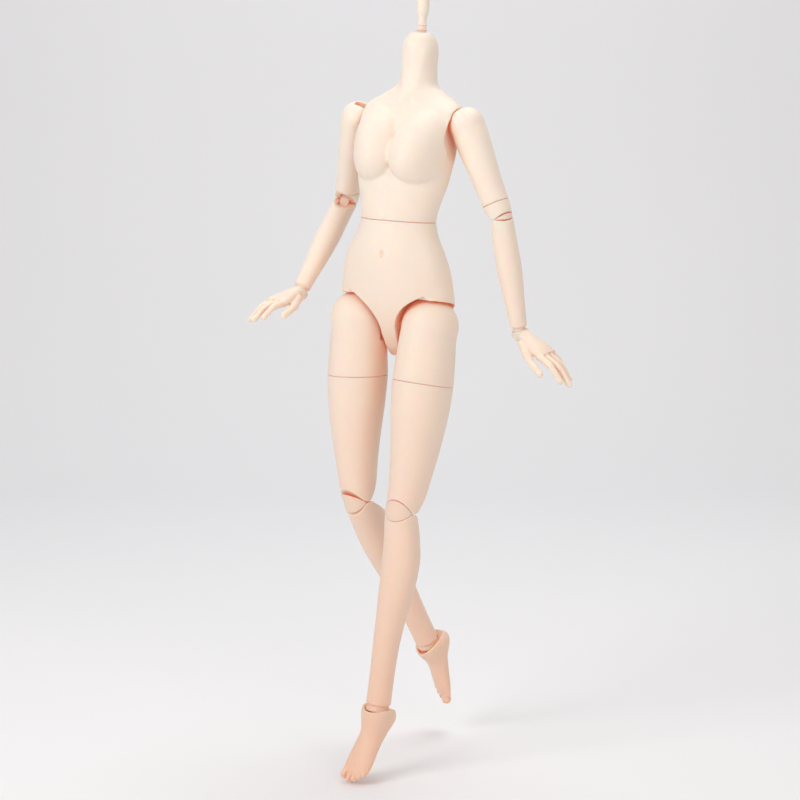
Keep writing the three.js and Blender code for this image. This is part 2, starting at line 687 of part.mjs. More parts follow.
function pelvisShell() {
  let pelvis = trunkForm.intersect(slab(-waistDrop - seam / 2, -reach * formSpan));
  for (const side of [-1, 1]) {
    const place = [side * hipSide, -hipForward, -hipDrop];
    const room = socketRoom(hipSocketRadius, side * hipSocketTilt, hipSocketOpenings);
    pelvis = pelvis.subtract(solidOf(moved(room, ...place)));
    pelvis = pelvis.subtract(solidOf(moved(ballBore(hipLink, side), ...place)));
  }
  const navel = new THREE.SphereGeometry(navelHigh, pinSides, pinSides);
  navel.scale(navelWide / navelHigh, navelDepth / navelHigh, 1);
  const belly = sectionAt(trunkShares, navelDrop / formSpan);
  pelvis = pelvis.subtract(solidOf(moved(navel, 0, -(belly[2] + belly[4]) * formSpan, -navelDrop)));
  const waistY = -sectionAt(trunkShares, waistDrop / formSpan)[4] * formSpan;
  const foot = -waistDrop - waistPostHeight;
  const socket = moved(rod(waistPostRadius + gap, foot, -waistDrop + over, 'z'), 0, waistY, 0);
  return pelvis.subtract(solidOf(socket));
}

function waistPost() {
  const waistY = -sectionAt(trunkShares, waistDrop / formSpan)[4] * formSpan;
  const foot = -waistDrop - waistPostHeight + gap;
  const top = -waistDrop + waistPostHeight;
  const post = moved(rod(waistPostRadius, foot, top, 'z'), 0, waistY, 0);
  const lip = moved(rod(waistLipRadius, top - waistLipHeight, top, 'z'), 0, waistY, 0);
  return solidOf(post).add(solidOf(lip));
}

function neckBall() {
  const whole = solidOf(ball(neckBallRadius)).intersect(slab(neckBallTop, -reach));
  const bore = rod(pegTailRadius + gap, pegTailFoot - gap, reach, 'z');
  const hole = rod(neckPinRadius + gap, -reach, reach, 'x', pinSides);
  return whole.subtract(solidOf(bore)).subtract(solidOf(hole));
}

function headPeg() {
  const outline = [
    [0, pegTailFoot - neckBallDrop],
    [pegTailRadius, pegTailFoot - neckBallDrop],
    [pegTailRadius, neckBallTop - neckBallDrop + gap],
    [pegStemRadius, neckBallTop - neckBallDrop + gap],
    [pegStemRadius, pegRingLow],
  ];
  for (const foot of [pegRingLow, pegRingHigh]) {
    outline.push([pegRingRadius, foot + pegRingHeight / 4]);
    outline.push([pegRingRadius, foot + pegRingHeight * 0.75]);
    outline.push([pegNeckRadius, foot + pegRingHeight]);
    if (foot === pegRingLow) outline.push([pegNeckRadius, pegRingHigh]);
  }
  outline.push([pegNeckRadius, (pegRingHigh + pegBulbLow) / 2]);
  outline.push([pegBulbRadius, pegBulbLow + (pegBulbHigh - pegBulbLow) / 3]);
  outline.push([pegBulbRadius, pegBulbHigh]);
  outline.push([pegCrownRadius, pegTop]);
  outline.push([0, pegTop]);
  return solidOf(turned(outline));
}

// Arm pieces in the frame of the shoulder's ball
const armLength = upperArmLength + foreArmLength;
const armSpanLength = armLength / armShares[armShares.length - 1][0];

function armSpan(from, to, rings) {
  const span = [from / armSpanLength, to / armSpanLength, rings];
  return solidOf(form(armShares, [span], armSides, armSpanLength));
}

function around(solid, drop, work) {
  const worked = work(solidOf(moved(geometryOf(solid), 0, 0, drop)));
  return solidOf(moved(geometryOf(worked), 0, 0, -drop));
}

function upperArm() {
  const shaft = armSpan(0, armSeamDrop - seam / 2, 6);
  const head = solidOf(ball(armHeadRadius, armSides));
  return shaft.add(head).subtract(ballSlot(shoulderLink)).subtract(spigotBore(armSwivel, armSeamDrop));
}

function elbowCup() {
  const shaft = armSpan(armSeamDrop + seam / 2, upperArmLength + reach / 4, 3);
  const nose = around(shaft, upperArmLength, (limb) => hingeEnd(elbow, 1, limb));
  return nose.add(spigot(armSwivel, armSeamDrop));
}

function elbowLink() {
  const shaft = armSpan(upperArmLength - reach / 2, upperArmLength + reach / 2, 6);
  return around(shaft, upperArmLength, (limb) => hingeLink(elbow, limb));
}

function foreArm() {
  const shaft = armSpan(upperArmLength - reach / 4, armLength - wrist.endLift, 9);
  const nose = around(shaft, upperArmLength, (limb) => hingeEnd(elbow, -1, limb));
  return around(nose, armLength, (limb) => limb.intersect(endRounding(wrist)).subtract(endCut(wrist)));
}

// Leg pieces in the frame of the hip's ball
const legLength = thighLength + shinLength;
const legSpanLength = legLength / legShares[legShares.length - 1][0];

function legSpan(from, to, rings) {
  const span = [from / legSpanLength, to / legSpanLength, rings];
  return solidOf(form(legShares, [span], legSides, legSpanLength));
}

function thighUpper() {
  const shaft = legSpan(0, legSeamDrop - seam / 2, 6);
  const head = solidOf(ball(legHeadRadius, legSides));
  return shaft.add(head).subtract(ballSlot(hipLink)).subtract(spigotBore(legSwivel, legSeamDrop));
}

function thighLower() {
  const shaft = legSpan(legSeamDrop + seam / 2, thighLength + reach / 4, 10);
  const nose = around(shaft, thighLength, (limb) => hingeEnd(knee, 1, limb));
  return nose.add(spigot(legSwivel, legSeamDrop));
}

function kneeLink() {
  const shaft = legSpan(thighLength - reach / 2, thighLength + reach / 2, 6);
  return around(shaft, thighLength, (limb) => hingeLink(knee, limb));
}

function shin() {
  const shaft = legSpan(thighLength - reach / 4, legLength - ankle.endLift, 14);
  const nose = around(shaft, thighLength, (limb) => hingeEnd(knee, -1, limb));
  return around(nose, legLength, (limb) => limb.intersect(endRounding(ankle)).subtract(endCut(ankle)));
}

// Foot, moulded pointed, in the frame of the ankle
function foot() {
  const last = footShares.length - 1;
  const span = [footShares[0][0], footShares[last][0], footRings];
  let body = solidOf(form(footShares, [span], legSides, formSpan));
  for (const [side, rootDrop, tipDrop, rootFront, tipFront, radius] of toeShares) {
    const path = [
      new THREE.Vector3(side, -rootFront, -rootDrop),
      new THREE.Vector3(side, (-rootFront - tipFront) / 2, (-rootDrop - tipDrop) / 2),
      new THREE.Vector3(side, -tipFront, radius - tipDrop),
    ];
    path.forEach((point) => point.multiplyScalar(formSpan));
    const toe = finger(path, radius * formSpan, radius * formSpan, pinSides, 2);
    body = body.add(solidOf(toe));
  }
  // The rim dips in front and behind and rises at the sides
  const rim = [];
  const rimStep = (footEarTop - footCupTop) / arcSteps;
  for (let step = -arcSteps; step <= arcSteps; step += 1) {
    const share = step / arcSteps;
    rim.push([share * ankle.cupRadius * 1.4, footCupTop + arcSteps * rimStep * share * share]);
  }
  rim.push([reach, footEarTop], [reach, reach], [-reach, reach], [-reach, footEarTop]);
  const lid = solidOf(plateXZ(rim, reach));
  return body.subtract(lid).subtract(cupCut(ankle));
}

// Hand, moulded bent back at the wrist, in the frame of the wrist
function hand() {
  const last = palmShares.length - 1;
  const span = [palmShares[0][0], palmShares[last][0], palmRings];
  let palm = solidOf(form(palmShares, [span], armSides, formSpan));
  for (const row of fingerShares) {
    const path = [0, 3, 6].map((at) => {
      return new THREE.Vector3(row[at], row[at + 2], -row[at + 1]).multiplyScalar(formSpan);
    });
    palm = palm.add(solidOf(finger(path, row[9] * formSpan, row[10] * formSpan, pinSides, 3)));
  }
  const bent = geometryOf(palm).rotateX(-THREE.MathUtils.degToRad(handBend));
  const cupOuter = wrist.cupRadius + over;
  const cup = solidOf(ball(cupOuter)).intersect(slab(wrist.endLift + gap, -reach));
  return cup.add(solidOf(bent)).subtract(cupCut(wrist));
}

// Assembly
const skinPaint = { color: 0xf3dcc8, roughness: 0.55, metalness: 0 };
const linkPaint = { color: 0xe9c9b0, roughness: 0.5, metalness: 0 };
const pinPaint = { color: 0xb9bcc0, roughness: 0.3, metalness: 1 };

function meshNamed(name, geometry, paint, drop = 0) {
  const mesh = new THREE.Mesh(geometry, new THREE.MeshStandardMaterial(paint));
  mesh.name = name;
  mesh.position.z = drop;
  return mesh;
}

function jointAt(name, parent, place, axis, degrees) {
  const group = new THREE.Group();
  group.name = name;
  group.position.copy(place);
  group.setRotationFromAxisAngle(axis, THREE.MathUtils.degToRad(degrees));
  parent.add(group);
  return group;
}

function at(x, y, z) {
  return new THREE.Vector3(x, y, z);
}

const armPieces = {
  shoulder_link: geometryOf(ballLink(shoulderLink)),
  shoulder_pin: geometryOf(ballPin(shoulderLink)),
  upper_arm: geometryOf(upperArm()),
  elbow_cup: geometryOf(elbowCup()),
  elbow_upper_pin: geometryOf(hingePin(elbow, 1)),
  elbow_link: geometryOf(elbowLink()),
  elbow_lower_pin: geometryOf(hingePin(elbow, -1)),
  forearm: geometryOf(foreArm()),
  wrist_link: geometryOf(endLink(wrist)),
  wrist_pin: geometryOf(solidOf(rod(wrist.pinRadius, -wrist.pinHalf, wrist.pinHalf, 'x', pinSides))),
  hand: geometryOf(hand()),
};
const legPieces = {
  hip_link: geometryOf(ballLink(hipLink)),
  hip_pin: geometryOf(ballPin(hipLink)),
  thigh_upper: geometryOf(thighUpper()),
  thigh_lower: geometryOf(thighLower()),
  knee_upper_pin: geometryOf(hingePin(knee, 1)),
  knee_link: geometryOf(kneeLink()),
  knee_lower_pin: geometryOf(hingePin(knee, -1)),
  shin: geometryOf(shin()),
  ankle_link: geometryOf(endLink(ankle)),
  ankle_pin: geometryOf(solidOf(rod(ankle.pinRadius, -ankle.pinHalf, ankle.pinHalf, 'x', pinSides))),
  foot: geometryOf(foot()),
};

function pieceOf(pieces, side, name, paint, drop) {
  const geometry = side > 0 ? pieces[name] : mirrored(pieces[name]);
  return meshNamed(`${side > 0 ? 'left' : 'right'}_${name}`, geometry, paint, drop);
}

function addArm(trunk, side, angles) {
  const word = side > 0 ? 'left' : 'right';
  const put = (group, name, paint, drop) => group.add(pieceOf(armPieces, side, name, paint, drop));
  const place = at(side * shoulderSide, -shoulderForward, -shoulderDrop);
  const swing = jointAt(`${word}_shoulder_swing`, trunk, place, alongX, -angles.swing);
  put(swing, 'shoulder_link', linkPaint);
  const spread = jointAt(`${word}_shoulder_spread`, swing, at(0, 0, 0), alongY, -side * angles.spread);
  put(spread, 'upper_arm', skinPaint);
  put(spread, 'shoulder_pin', pinPaint);
  const seamPlace = at(0, 0, -armSeamDrop);
  const turn = jointAt(`${word}_arm_turn`, spread, seamPlace, alongZ, side * angles.armTurn);
  put(turn, 'elbow_cup', skinPaint, armSeamDrop);
  put(turn, 'elbow_upper_pin', pinPaint, armSeamDrop - upperArmLength);
  const pinY = elbow.pinShift;
  const highPlace = at(0, pinY, armSeamDrop - upperArmLength + elbow.pinRise);
  const high = jointAt(`${word}_elbow_upper`, turn, highPlace, alongX, angles.elbowHigh);
  const link = pieceOf(armPieces, side, 'elbow_link', linkPaint, upperArmLength - elbow.pinRise);
  link.position.y = -pinY;
  high.add(link);
  const lowPlace = at(0, 0, -2 * elbow.pinRise);
  const low = jointAt(`${word}_elbow_lower`, high, lowPlace, alongX, angles.elbowLow);
  const lowPin = pieceOf(armPieces, side, 'elbow_lower_pin', pinPaint, elbow.pinRise);
  lowPin.position.y = -pinY;
  low.add(lowPin);
  const fore = pieceOf(armPieces, side, 'forearm', skinPaint, upperArmLength + elbow.pinRise);
  fore.position.y = -pinY;
  low.add(fore);
  const wristPlace = at(0, -pinY, elbow.pinRise - foreArmLength);
  const wristTurn = jointAt(`${word}_wrist_turn`, low, wristPlace, alongZ, side * angles.wristTurn);
  put(wristTurn, 'wrist_link', linkPaint);
  const bend = jointAt(`${word}_wrist_bend`, wristTurn, at(0, 0, 0), alongX, angles.wristBend);
  put(bend, 'wrist_pin', pinPaint);
  put(bend, 'hand', skinPaint);
}

function addLeg(trunk, side, angles) {
  const word = side > 0 ? 'left' : 'right';
  const put = (group, name, paint, drop) => group.add(pieceOf(legPieces, side, name, paint, drop));
  const waistY = -sectionAt(trunkShares, waistDrop / formSpan)[4] * formSpan;
  const place = at(side * hipSide, -hipForward - waistY, waistDrop - hipDrop);
  const swing = jointAt(`${word}_hip_swing`, trunk, place, alongX, angles.hipSwing);
  put(swing, 'hip_link', linkPaint);
  const spread = jointAt(`${word}_hip_spread`, swing, at(0, 0, 0), alongY, -side * angles.hipSpread);
  put(spread, 'thigh_upper', skinPaint);
  put(spread, 'hip_pin', pinPaint);
  const seamPlace = at(0, 0, -legSeamDrop);
  const turn = jointAt(`${word}_thigh_turn`, spread, seamPlace, alongZ, side * angles.thighTurn);
  put(turn, 'thigh_lower', skinPaint, legSeamDrop);
  put(turn, 'knee_upper_pin', pinPaint, legSeamDrop - thighLength);
  const pinY = -knee.pinShift;
  const highPlace = at(0, pinY, legSeamDrop - thighLength + knee.pinRise);
  const high = jointAt(`${word}_knee_upper`, turn, highPlace, alongX, angles.kneeHigh);
  const link = pieceOf(legPieces, side, 'knee_link', linkPaint, thighLength - knee.pinRise);
  link.position.y = -pinY;
  high.add(link);
  const lowPlace = at(0, 0, -2 * knee.pinRise);
  const low = jointAt(`${word}_knee_lower`, high, lowPlace, alongX, angles.kneeLow);
  const lowPin = pieceOf(legPieces, side, 'knee_lower_pin', pinPaint, knee.pinRise);
  lowPin.position.y = -pinY;
  low.add(lowPin);
  const shank = pieceOf(legPieces, side, 'shin', skinPaint, thighLength + knee.pinRise);
  shank.position.y = -pinY;
  low.add(shank);
  const anklePlace = at(0, -pinY, knee.pinRise - shinLength);
  const ankleTurn = jointAt(`${word}_ankle_turn`, low, anklePlace, alongZ, side * angles.ankleTurn);
  put(ankleTurn, 'ankle_link', linkPaint);
  const bend = jointAt(`${word}_ankle_bend`, ankleTurn, at(0, 0, 0), alongX, angles.ankleBend);
  put(bend, 'ankle_pin', pinPaint);
  put(bend, 'foot', skinPaint);
}

const doll = new THREE.Group();
doll.name = 'ball_jointed_doll';
const roll = THREE.MathUtils.degToRad(trunkRoll);
const neckTop = at(0, 0, -pegTop).applyAxisAngle(alongY, roll);
const trunk = jointAt('trunk', doll, neckTop, alongY, trunkRoll);
trunk.add(meshNamed('chest_shell', geometryOf(chestShell()), skinPaint));
const neckPin = solidOf(rod(neckPinRadius, -neckPinHalf, neckPinHalf, 'x', pinSides));
trunk.add(meshNamed('neck_pin', geometryOf(neckPin), pinPaint, -neckBallDrop));
const nod = jointAt('neck_nod', trunk, at(0, 0, -neckBallDrop), alongX, 0);
nod.add(meshNamed('neck_ball', geometryOf(neckBall()), linkPaint));
const headTurn = jointAt('head_turn', nod, at(0, 0, 0), alongZ, 0);
headTurn.add(meshNamed('head_peg', geometryOf(headPeg()), skinPaint, neckBallDrop));
const waistY = -sectionAt(trunkShares, waistDrop / formSpan)[4] * formSpan;
const waist = jointAt('waist_turn', trunk, at(0, waistY, -waistDrop), alongZ, 0);
const waistMeshes = [
  meshNamed('pelvis_shell', geometryOf(pelvisShell()), skinPaint, waistDrop),
  meshNamed('waist_post', geometryOf(waistPost()), linkPaint, waistDrop),
];
for (const mesh of waistMeshes) {
  mesh.position.y = -waistY;
  waist.add(mesh);
}
for (const [side, angles] of [[1, pose.left], [-1, pose.right]]) {
  addArm(trunk, side, angles);
  addLeg(waist, side, angles);
}

export default doll;
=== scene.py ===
"""Dresses the ball jointed doll's solids: cast skin pieces, joint metal, studio and camera."""
import json
import math

import bpy
import bmesh
from mathutils import Matrix, Vector


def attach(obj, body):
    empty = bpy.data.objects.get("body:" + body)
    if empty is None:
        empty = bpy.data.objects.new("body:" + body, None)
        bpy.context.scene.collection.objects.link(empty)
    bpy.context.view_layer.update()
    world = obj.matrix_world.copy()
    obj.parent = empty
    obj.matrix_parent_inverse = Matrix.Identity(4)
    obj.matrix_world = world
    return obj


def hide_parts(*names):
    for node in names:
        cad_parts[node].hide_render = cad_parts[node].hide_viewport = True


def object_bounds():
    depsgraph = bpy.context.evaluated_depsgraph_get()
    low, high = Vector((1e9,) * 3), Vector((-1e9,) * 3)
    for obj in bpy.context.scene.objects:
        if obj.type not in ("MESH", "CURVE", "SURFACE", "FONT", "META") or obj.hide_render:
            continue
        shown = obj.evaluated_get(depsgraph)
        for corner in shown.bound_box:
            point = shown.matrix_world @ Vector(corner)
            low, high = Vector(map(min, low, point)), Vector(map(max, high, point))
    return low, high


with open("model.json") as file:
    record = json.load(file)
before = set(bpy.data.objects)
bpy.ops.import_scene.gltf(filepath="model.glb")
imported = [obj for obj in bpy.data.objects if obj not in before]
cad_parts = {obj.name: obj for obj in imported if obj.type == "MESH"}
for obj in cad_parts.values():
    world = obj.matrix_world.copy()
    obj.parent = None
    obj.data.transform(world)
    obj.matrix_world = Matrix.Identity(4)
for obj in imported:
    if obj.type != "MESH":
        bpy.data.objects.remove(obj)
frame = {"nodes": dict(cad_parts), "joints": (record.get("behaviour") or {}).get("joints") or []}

bl_info = {
    "name": "Ball jointed doll",
    "version": (1, 0, 0),
    "blender": (4, 5, 0),
    "location": "3D View > Sidebar > Doll",
    "description": "Builds the cast pieces of a ball jointed doll around its packed frame",
    "category": "Object",
}

CAD_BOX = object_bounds()
JOINTS = {joint["name"]: joint for joint in frame["joints"]}

# Sizes in millimetres, those of the solids apart from the finer seams and the thigh's fuller head
METRE = 1000.0
GAP = 0.3
HAIRLINE = 0.08
OVER = 1.0
REACH = 40.0
FAR = 5 * REACH
SPAN = 100.0
NECK_BALL_DROP = 12.0
WAIST_DROP = 139.5
TRUNK_DROP = 243.0
SHOULDER = (46.2, -6.3, -66.3)
HIP = (30.8, -15.4, -217.0)
UPPER_ARM = 73.2
FORE_ARM = 87.2
ARM_SEAM = 0.84 * UPPER_ARM
THIGH = 140.6
SHIN = 155.2
LEG_SEAM = 0.306 * THIGH
ARM_HEAD = 13.4
LEG_HEAD = 21.6
# Openings of a socket: swing in degrees, extra radius and outward shift
ARM_SOCKET = {"radius": 13.9, "tilt": 12.0,
              "openings": ((-42, 0, 0), (-20, 0, 0), (2, 0, 0), (26, 0, 0), (50, 0, 0))}
HIP_SOCKET = {"radius": 24.2, "tilt": 4.0,
              "openings": ((-25, 0, 0), (-5, 0, 0), (16, 0.8, 1.2), (37, 2, 2.8), (58, 3.6, 4.2))}
BUST = {"side": 19.5, "drop": 91.0, "reach": 13.4, "wide": 21.0, "below": 20.0, "above": 36.0,
        "fullness": 0.8}
NAVEL = {"drop": 164.0, "depth": 1.7, "wide": 1.7, "high": 3.4}
WAIST_POST = {"radius": 12.0, "height": 16.0, "lip": 14.0, "lip_height": 4.0}
NECK = {"ball": 7.6, "slot_half": 4.4, "slot_length": 14.6, "pin": 1.4, "pin_half": 10.4}

# Rows in shares of SPAN: drop, half width, depth in front and behind, forward, squareness, outward
TRUNK_ROWS = (
    (0, 0.08, 0.08, 0.08, 0, 1, 0),
    (0.015, 0.095, 0.095, 0.095, 0, 1, 0),
    (0.04, 0.113, 0.113, 0.113, 0, 1, 0),
    (0.08, 0.129, 0.129, 0.129, 0, 1, 0),
    (0.13, 0.137, 0.137, 0.137, 0, 1, 0),
    (0.3, 0.139, 0.136, 0.138, 0, 1, 0),
    (0.39, 0.165, 0.14, 0.148, 0.002, 1, 0),
    (0.455, 0.265, 0.15, 0.168, 0.01, 1, 0),
    (0.52, 0.37, 0.168, 0.185, 0.026, 1.02, 0),
    (0.58, 0.415, 0.19, 0.2, 0.044, 1.1, 0),
    (0.66, 0.43, 0.218, 0.212, 0.068, 1.14, 0),
    (0.75, 0.42, 0.242, 0.217, 0.086, 1.12, 0),
    (0.86, 0.395, 0.262, 0.215, 0.105, 1.06, 0),
    (0.98, 0.38, 0.264, 0.208, 0.122, 1.02, 0),
    (1.1, 0.364, 0.248, 0.206, 0.142, 1, 0),
    (1.22, 0.332, 0.23, 0.208, 0.165, 1, 0),
    (1.32, 0.306, 0.221, 0.214, 0.18, 1, 0),
    (1.395, 0.3, 0.22, 0.22, 0.1845, 1, 0),
    (1.5, 0.33, 0.229, 0.224, 0.185, 1, 0),
    (1.62, 0.388, 0.245, 0.236, 0.178, 1, 0),
    (1.74, 0.43, 0.262, 0.246, 0.156, 1, 0),
    (1.86, 0.452, 0.256, 0.258, 0.14, 1.02, 0),
    (1.98, 0.464, 0.236, 0.27, 0.127, 1.05, 0),
    (2.1, 0.466, 0.194, 0.278, 0.122, 1.06, 0),
    (2.2, 0.44, 0.142, 0.268, 0.12, 1.04, 0),
    (2.29, 0.355, 0.092, 0.234, 0.112, 1, 0),
    (2.37, 0.22, 0.06, 0.175, 0.09, 1, 0),
    (2.43, 0.07, 0.035, 0.085, 0.045, 1, 0),
)
ARM_ROWS = (
    (0, 0.131, 0.131, 0.131, 0, 1, 0),
    (0.12, 0.13, 0.133, 0.13, 0, 1, 0),
    (0.25, 0.122, 0.128, 0.122, 0, 1, 0),
    (0.4, 0.11, 0.116, 0.111, 0, 1, 0),
    (0.52, 0.103, 0.108, 0.104, 0, 1, 0),
    (0.615, 0.101, 0.103, 0.102, 0, 1, 0),
    (0.732, 0.091, 0.093, 0.092, 0, 1, 0),
    (0.82, 0.089, 0.091, 0.09, 0, 1, 0),
    (0.95, 0.092, 0.095, 0.091, 0, 1, 0),
    (1.08, 0.095, 0.096, 0.092, 0, 1, 0),
    (1.22, 0.088, 0.088, 0.086, 0, 1, 0),
    (1.38, 0.075, 0.073, 0.073, 0, 1, 0),
    (1.5, 0.067, 0.065, 0.065, 0, 1, 0),
    (1.604, 0.062, 0.061, 0.061, 0, 1, 0),
)
LEG_ROWS = (
    (0, 0.21, 0.214, 0.214, 0, 1, -0.004),
    (0.12, 0.216, 0.22, 0.219, 0, 1, -0.002),
    (0.25, 0.223, 0.227, 0.224, 0, 1, 0.004),
    (0.42, 0.231, 0.235, 0.23, 0, 1, 0.01),
    (0.62, 0.222, 0.228, 0.218, 0, 1, 0.02),
    (0.8, 0.201, 0.21, 0.198, 0, 1, 0.026),
    (0.96, 0.18, 0.189, 0.178, 0, 1, 0.028),
    (1.1, 0.162, 0.171, 0.164, 0, 1, 0.025),
    (1.24, 0.146, 0.155, 0.15, 0, 1, 0.018),
    (1.34, 0.138, 0.144, 0.141, 0, 1, 0.009),
    (1.406, 0.134, 0.136, 0.135, 0, 1, 0.003),
    (1.5, 0.132, 0.13, 0.138, 0, 1, 0.006),
    (1.6, 0.135, 0.124, 0.154, 0, 1, 0.018),
    (1.74, 0.141, 0.12, 0.176, 0, 1, 0.03),
    (1.9, 0.137, 0.12, 0.173, 0, 1, 0.03),
    (2.05, 0.127, 0.116, 0.154, 0, 1, 0.022),
    (2.22, 0.113, 0.108, 0.13, 0, 1, 0.012),
    (2.4, 0.102, 0.102, 0.108, 0, 1, 0.003),
    (2.58, 0.096, 0.096, 0.098, 0, 1, 0),
    (2.75, 0.094, 0.094, 0.094, 0, 1, 0),
    (2.958, 0.096, 0.096, 0.096, 0, 1, 0),
)
FOOT_ROWS = (
    (-0.062, 0.112, 0.1, 0.104, 0, 1, 0),
    (-0.03, 0.124, 0.112, 0.138, 0, 1, 0),
    (0.01, 0.126, 0.118, 0.168, 0, 1, 0),
    (0.05, 0.119, 0.116, 0.174, 0, 1, 0),
    (0.1, 0.109, 0.112, 0.138, 0, 1, 0),
    (0.15, 0.103, 0.118, 0.074, 0, 1, 0),
    (0.21, 0.102, 0.09, 0.08, 0.045, 1, 0),
    (0.29, 0.108, 0.075, 0.072, 0.09, 1.05, 0),
    (0.37, 0.115, 0.062, 0.06, 0.13, 1.08, 0),
    (0.43, 0.113, 0.046, 0.046, 0.163, 1.1, 0),
    (0.46, 0.1, 0.034, 0.034, 0.178, 1.1, 0),
)
# Toes in shares of SPAN: side, drop of root, drop of tip, forward of root, forward of tip, radius
TOE_ROWS = (
    (-0.074, 0.43, 0.508, 0.168, 0.198, 0.036),
    (-0.024, 0.43, 0.516, 0.176, 0.206, 0.025),
    (0.018, 0.43, 0.505, 0.174, 0.202, 0.0235),
    (0.056, 0.42, 0.486, 0.168, 0.194, 0.022),
    (0.089, 0.405, 0.458, 0.155, 0.18, 0.021),
)
# Crease between two toes in shares of SPAN: front and drop of its root, middle and tip
TOE_GROOVE = ((-0.193, 0.375), (-0.213, 0.42), (-0.222, 0.5))
TOE_GROOVE_RADII = (0.5, 0.9, 1.0)
TOE_SWELL = (1, 0.9, 1.02)
PALM_ROWS = (
    (0.03, 0.06, 0.056, 0.056, 0, 1, 0),
    (0.08, 0.068, 0.054, 0.052, 0, 1.05, 0),
    (0.15, 0.086, 0.05, 0.048, 0, 1.12, 0),
    (0.22, 0.1, 0.046, 0.042, 0, 1.16, 0),
    (0.285, 0.104, 0.036, 0.034, 0, 1.16, 0),
)
# Fingers in shares of SPAN: side, drop and forward of root, middle and tip, root and tip radius
FINGER_ROWS = (
    (-0.076, 0.26, 0, -0.094, 0.4, -0.006, -0.1, 0.515, 0.036, 0.031, 0.022),
    (-0.027, 0.27, 0, -0.034, 0.43, -0.004, -0.042, 0.565, 0.044, 0.031, 0.022),
    (0.025, 0.265, 0, 0.04, 0.4, 0.012, 0.046, 0.515, 0.07, 0.029, 0.021),
    (0.072, 0.25, 0.002, 0.096, 0.35, 0.028, 0.1, 0.44, 0.09, 0.026, 0.019),
    (-0.05, 0.08, 0.02, -0.125, 0.22, 0.045, -0.165, 0.37, 0.06, 0.042, 0.026),
)
# Swelling of a finger over the mean radius in its middle, then over its tip's radius
FINGER_MIDDLE = (0.98, 1.04)
FINGER_END = (1.02, 1.04, 1)
# Nail in shares of the tip's radius
NAIL = {"half_width": 0.62, "half_length": 0.85, "half_depth": 0.16, "back": 0.05, "up": 0.9}
HAND_BEND = 45.0
FOOT_CUP_TOP = 1.6
FOOT_EAR_TOP = 6.0
FOOT_RIM_SHARE = 1.4
WRIST_BENDS = {"left": -5.0, "right": 5.0}
ANKLE_BENDS = {"left": 0.0, "right": 14.0}

SHOULDER_LINK = {"axle": 3.0, "inner": 30.0, "flange": 4.6, "flange_length": 2.0, "tongue": 5.2,
                 "pin": 1.3, "pin_half": 10.0, "low": 28.0, "high": 95.0}
HIP_LINK = {"axle": 4.0, "inner": 30.3, "flange": 6.6, "flange_length": 1.5, "tongue": 7.5,
            "pin": 1.8, "pin_half": 17.0, "low": 32.0, "high": 70.0}
KNEE = {"side": 1, "shift": 3.3, "rise": 5.4, "nose": 5.1, "stop": 44.0, "free": 57.0,
        "plate": 4.2, "plate_half": 4.4, "pin": 1.5, "pin_half": 9.6, "open": 63.0}
ELBOW = {"side": -1, "shift": 2.0, "rise": 4.6, "nose": 4.3, "stop": 18.0, "free": 54.0,
         "plate": 4.0, "plate_half": 3.6, "pin": 1.1, "pin_half": 6.6, "open": 70.0}
# How far a limb is lofted past its hinge, and a link's limb to both sides of its centre
HINGE_RUN = REACH / 4
LINK_RUN = REACH / 2
ARM_SWIVEL = {"radius": 4.6, "height": 13.0, "lip": 5.6, "lip_height": 2.4}
LEG_SWIVEL = {"radius": 9.0, "height": 13.0, "lip": 11.0, "lip_height": 3.0}
ANKLE = {"end": 9.6, "cup": 10.0, "lift": 1.9, "floor": 2.4, "eye": 4.4, "eye_half": 2.4,
         "peg": 3.0, "peg_height": 17.0, "pocket": 5.1, "pocket_height": 5.2, "pin": 1.3,
         "pin_half": 11.0}
WRIST = {"end": 5.5, "cup": 5.85, "lift": 1.2, "floor": 1.8, "eye": 2.9, "eye_half": 1.5,
         "peg": 2.0, "peg_height": 12.0, "pocket": 3.4, "pocket_height": 3.6, "pin": 0.9,
         "pin_half": 5.9}

# Cone that leads from a limb's round end into the limb, in shares of the end's radius
CONE_RADIUS = 0.8
CONE_FOOT = 0.6

# Head peg: radii and heights in millimetres, the tail's from the neck ball and others from the top
PEG = {"tail": 3.0, "tail_foot": 2.6, "tail_top": 6.2, "stem": 3.5}
PEG_RING_FEET = (2.0, 5.5)
PEG_RING = ((3.85, 0.12), (4.0, 0.35), (4.0, 0.65), (3.8, 0.9), (3.2, 1.05))
PEG_NECK = (3.2, 5.4)
PEG_BULB = ((3.2, 9.25), (3.3, 10.8), (3.7, 12.8), (4.2, 14.4), (4.55, 16.2), (4.6, 18.5),
            (4.6, 22), (4.5, 25), (4.25, 27.6), (4.0, 29.4), (3.9, 29.85), (3.6, 30.0))

# Soft modelling of the trunk in millimetres: x and z of both ends, width, rise; front then back
FRONT_STROKES = (
    (5, -49, 34, -58, 3.2, 1.1),
    (10, -14, 4, -46, 3.0, 0.7),
    (0, -52, 0, -58, 4.0, -1.2),
    (0, -108, 0, -160, 3.5, -0.7),
    (9, -112, 28, -130, 5.0, 0.6),
    (42, -186, 13, -214, 4.5, -0.8),
    (36, -170, 40, -178, 7.0, 0.9),
    (0, -186, 0, -192, 17.0, 1.2),
)
BACK_STROKES = (
    (0, -58, 0, -172, 4.5, -1.8),
    (17, -74, 25, -96, 9.0, 1.6),
    (10, -176, 10, -177, 3.0, -0.8),
    (21, -202, 22, -214, 15.0, 2.6),
    (0, -192, 0, -240, 4.5, -6.5),
)
# How fast a stroke fades towards the trunk's sides
RELIEF_FADE = 2

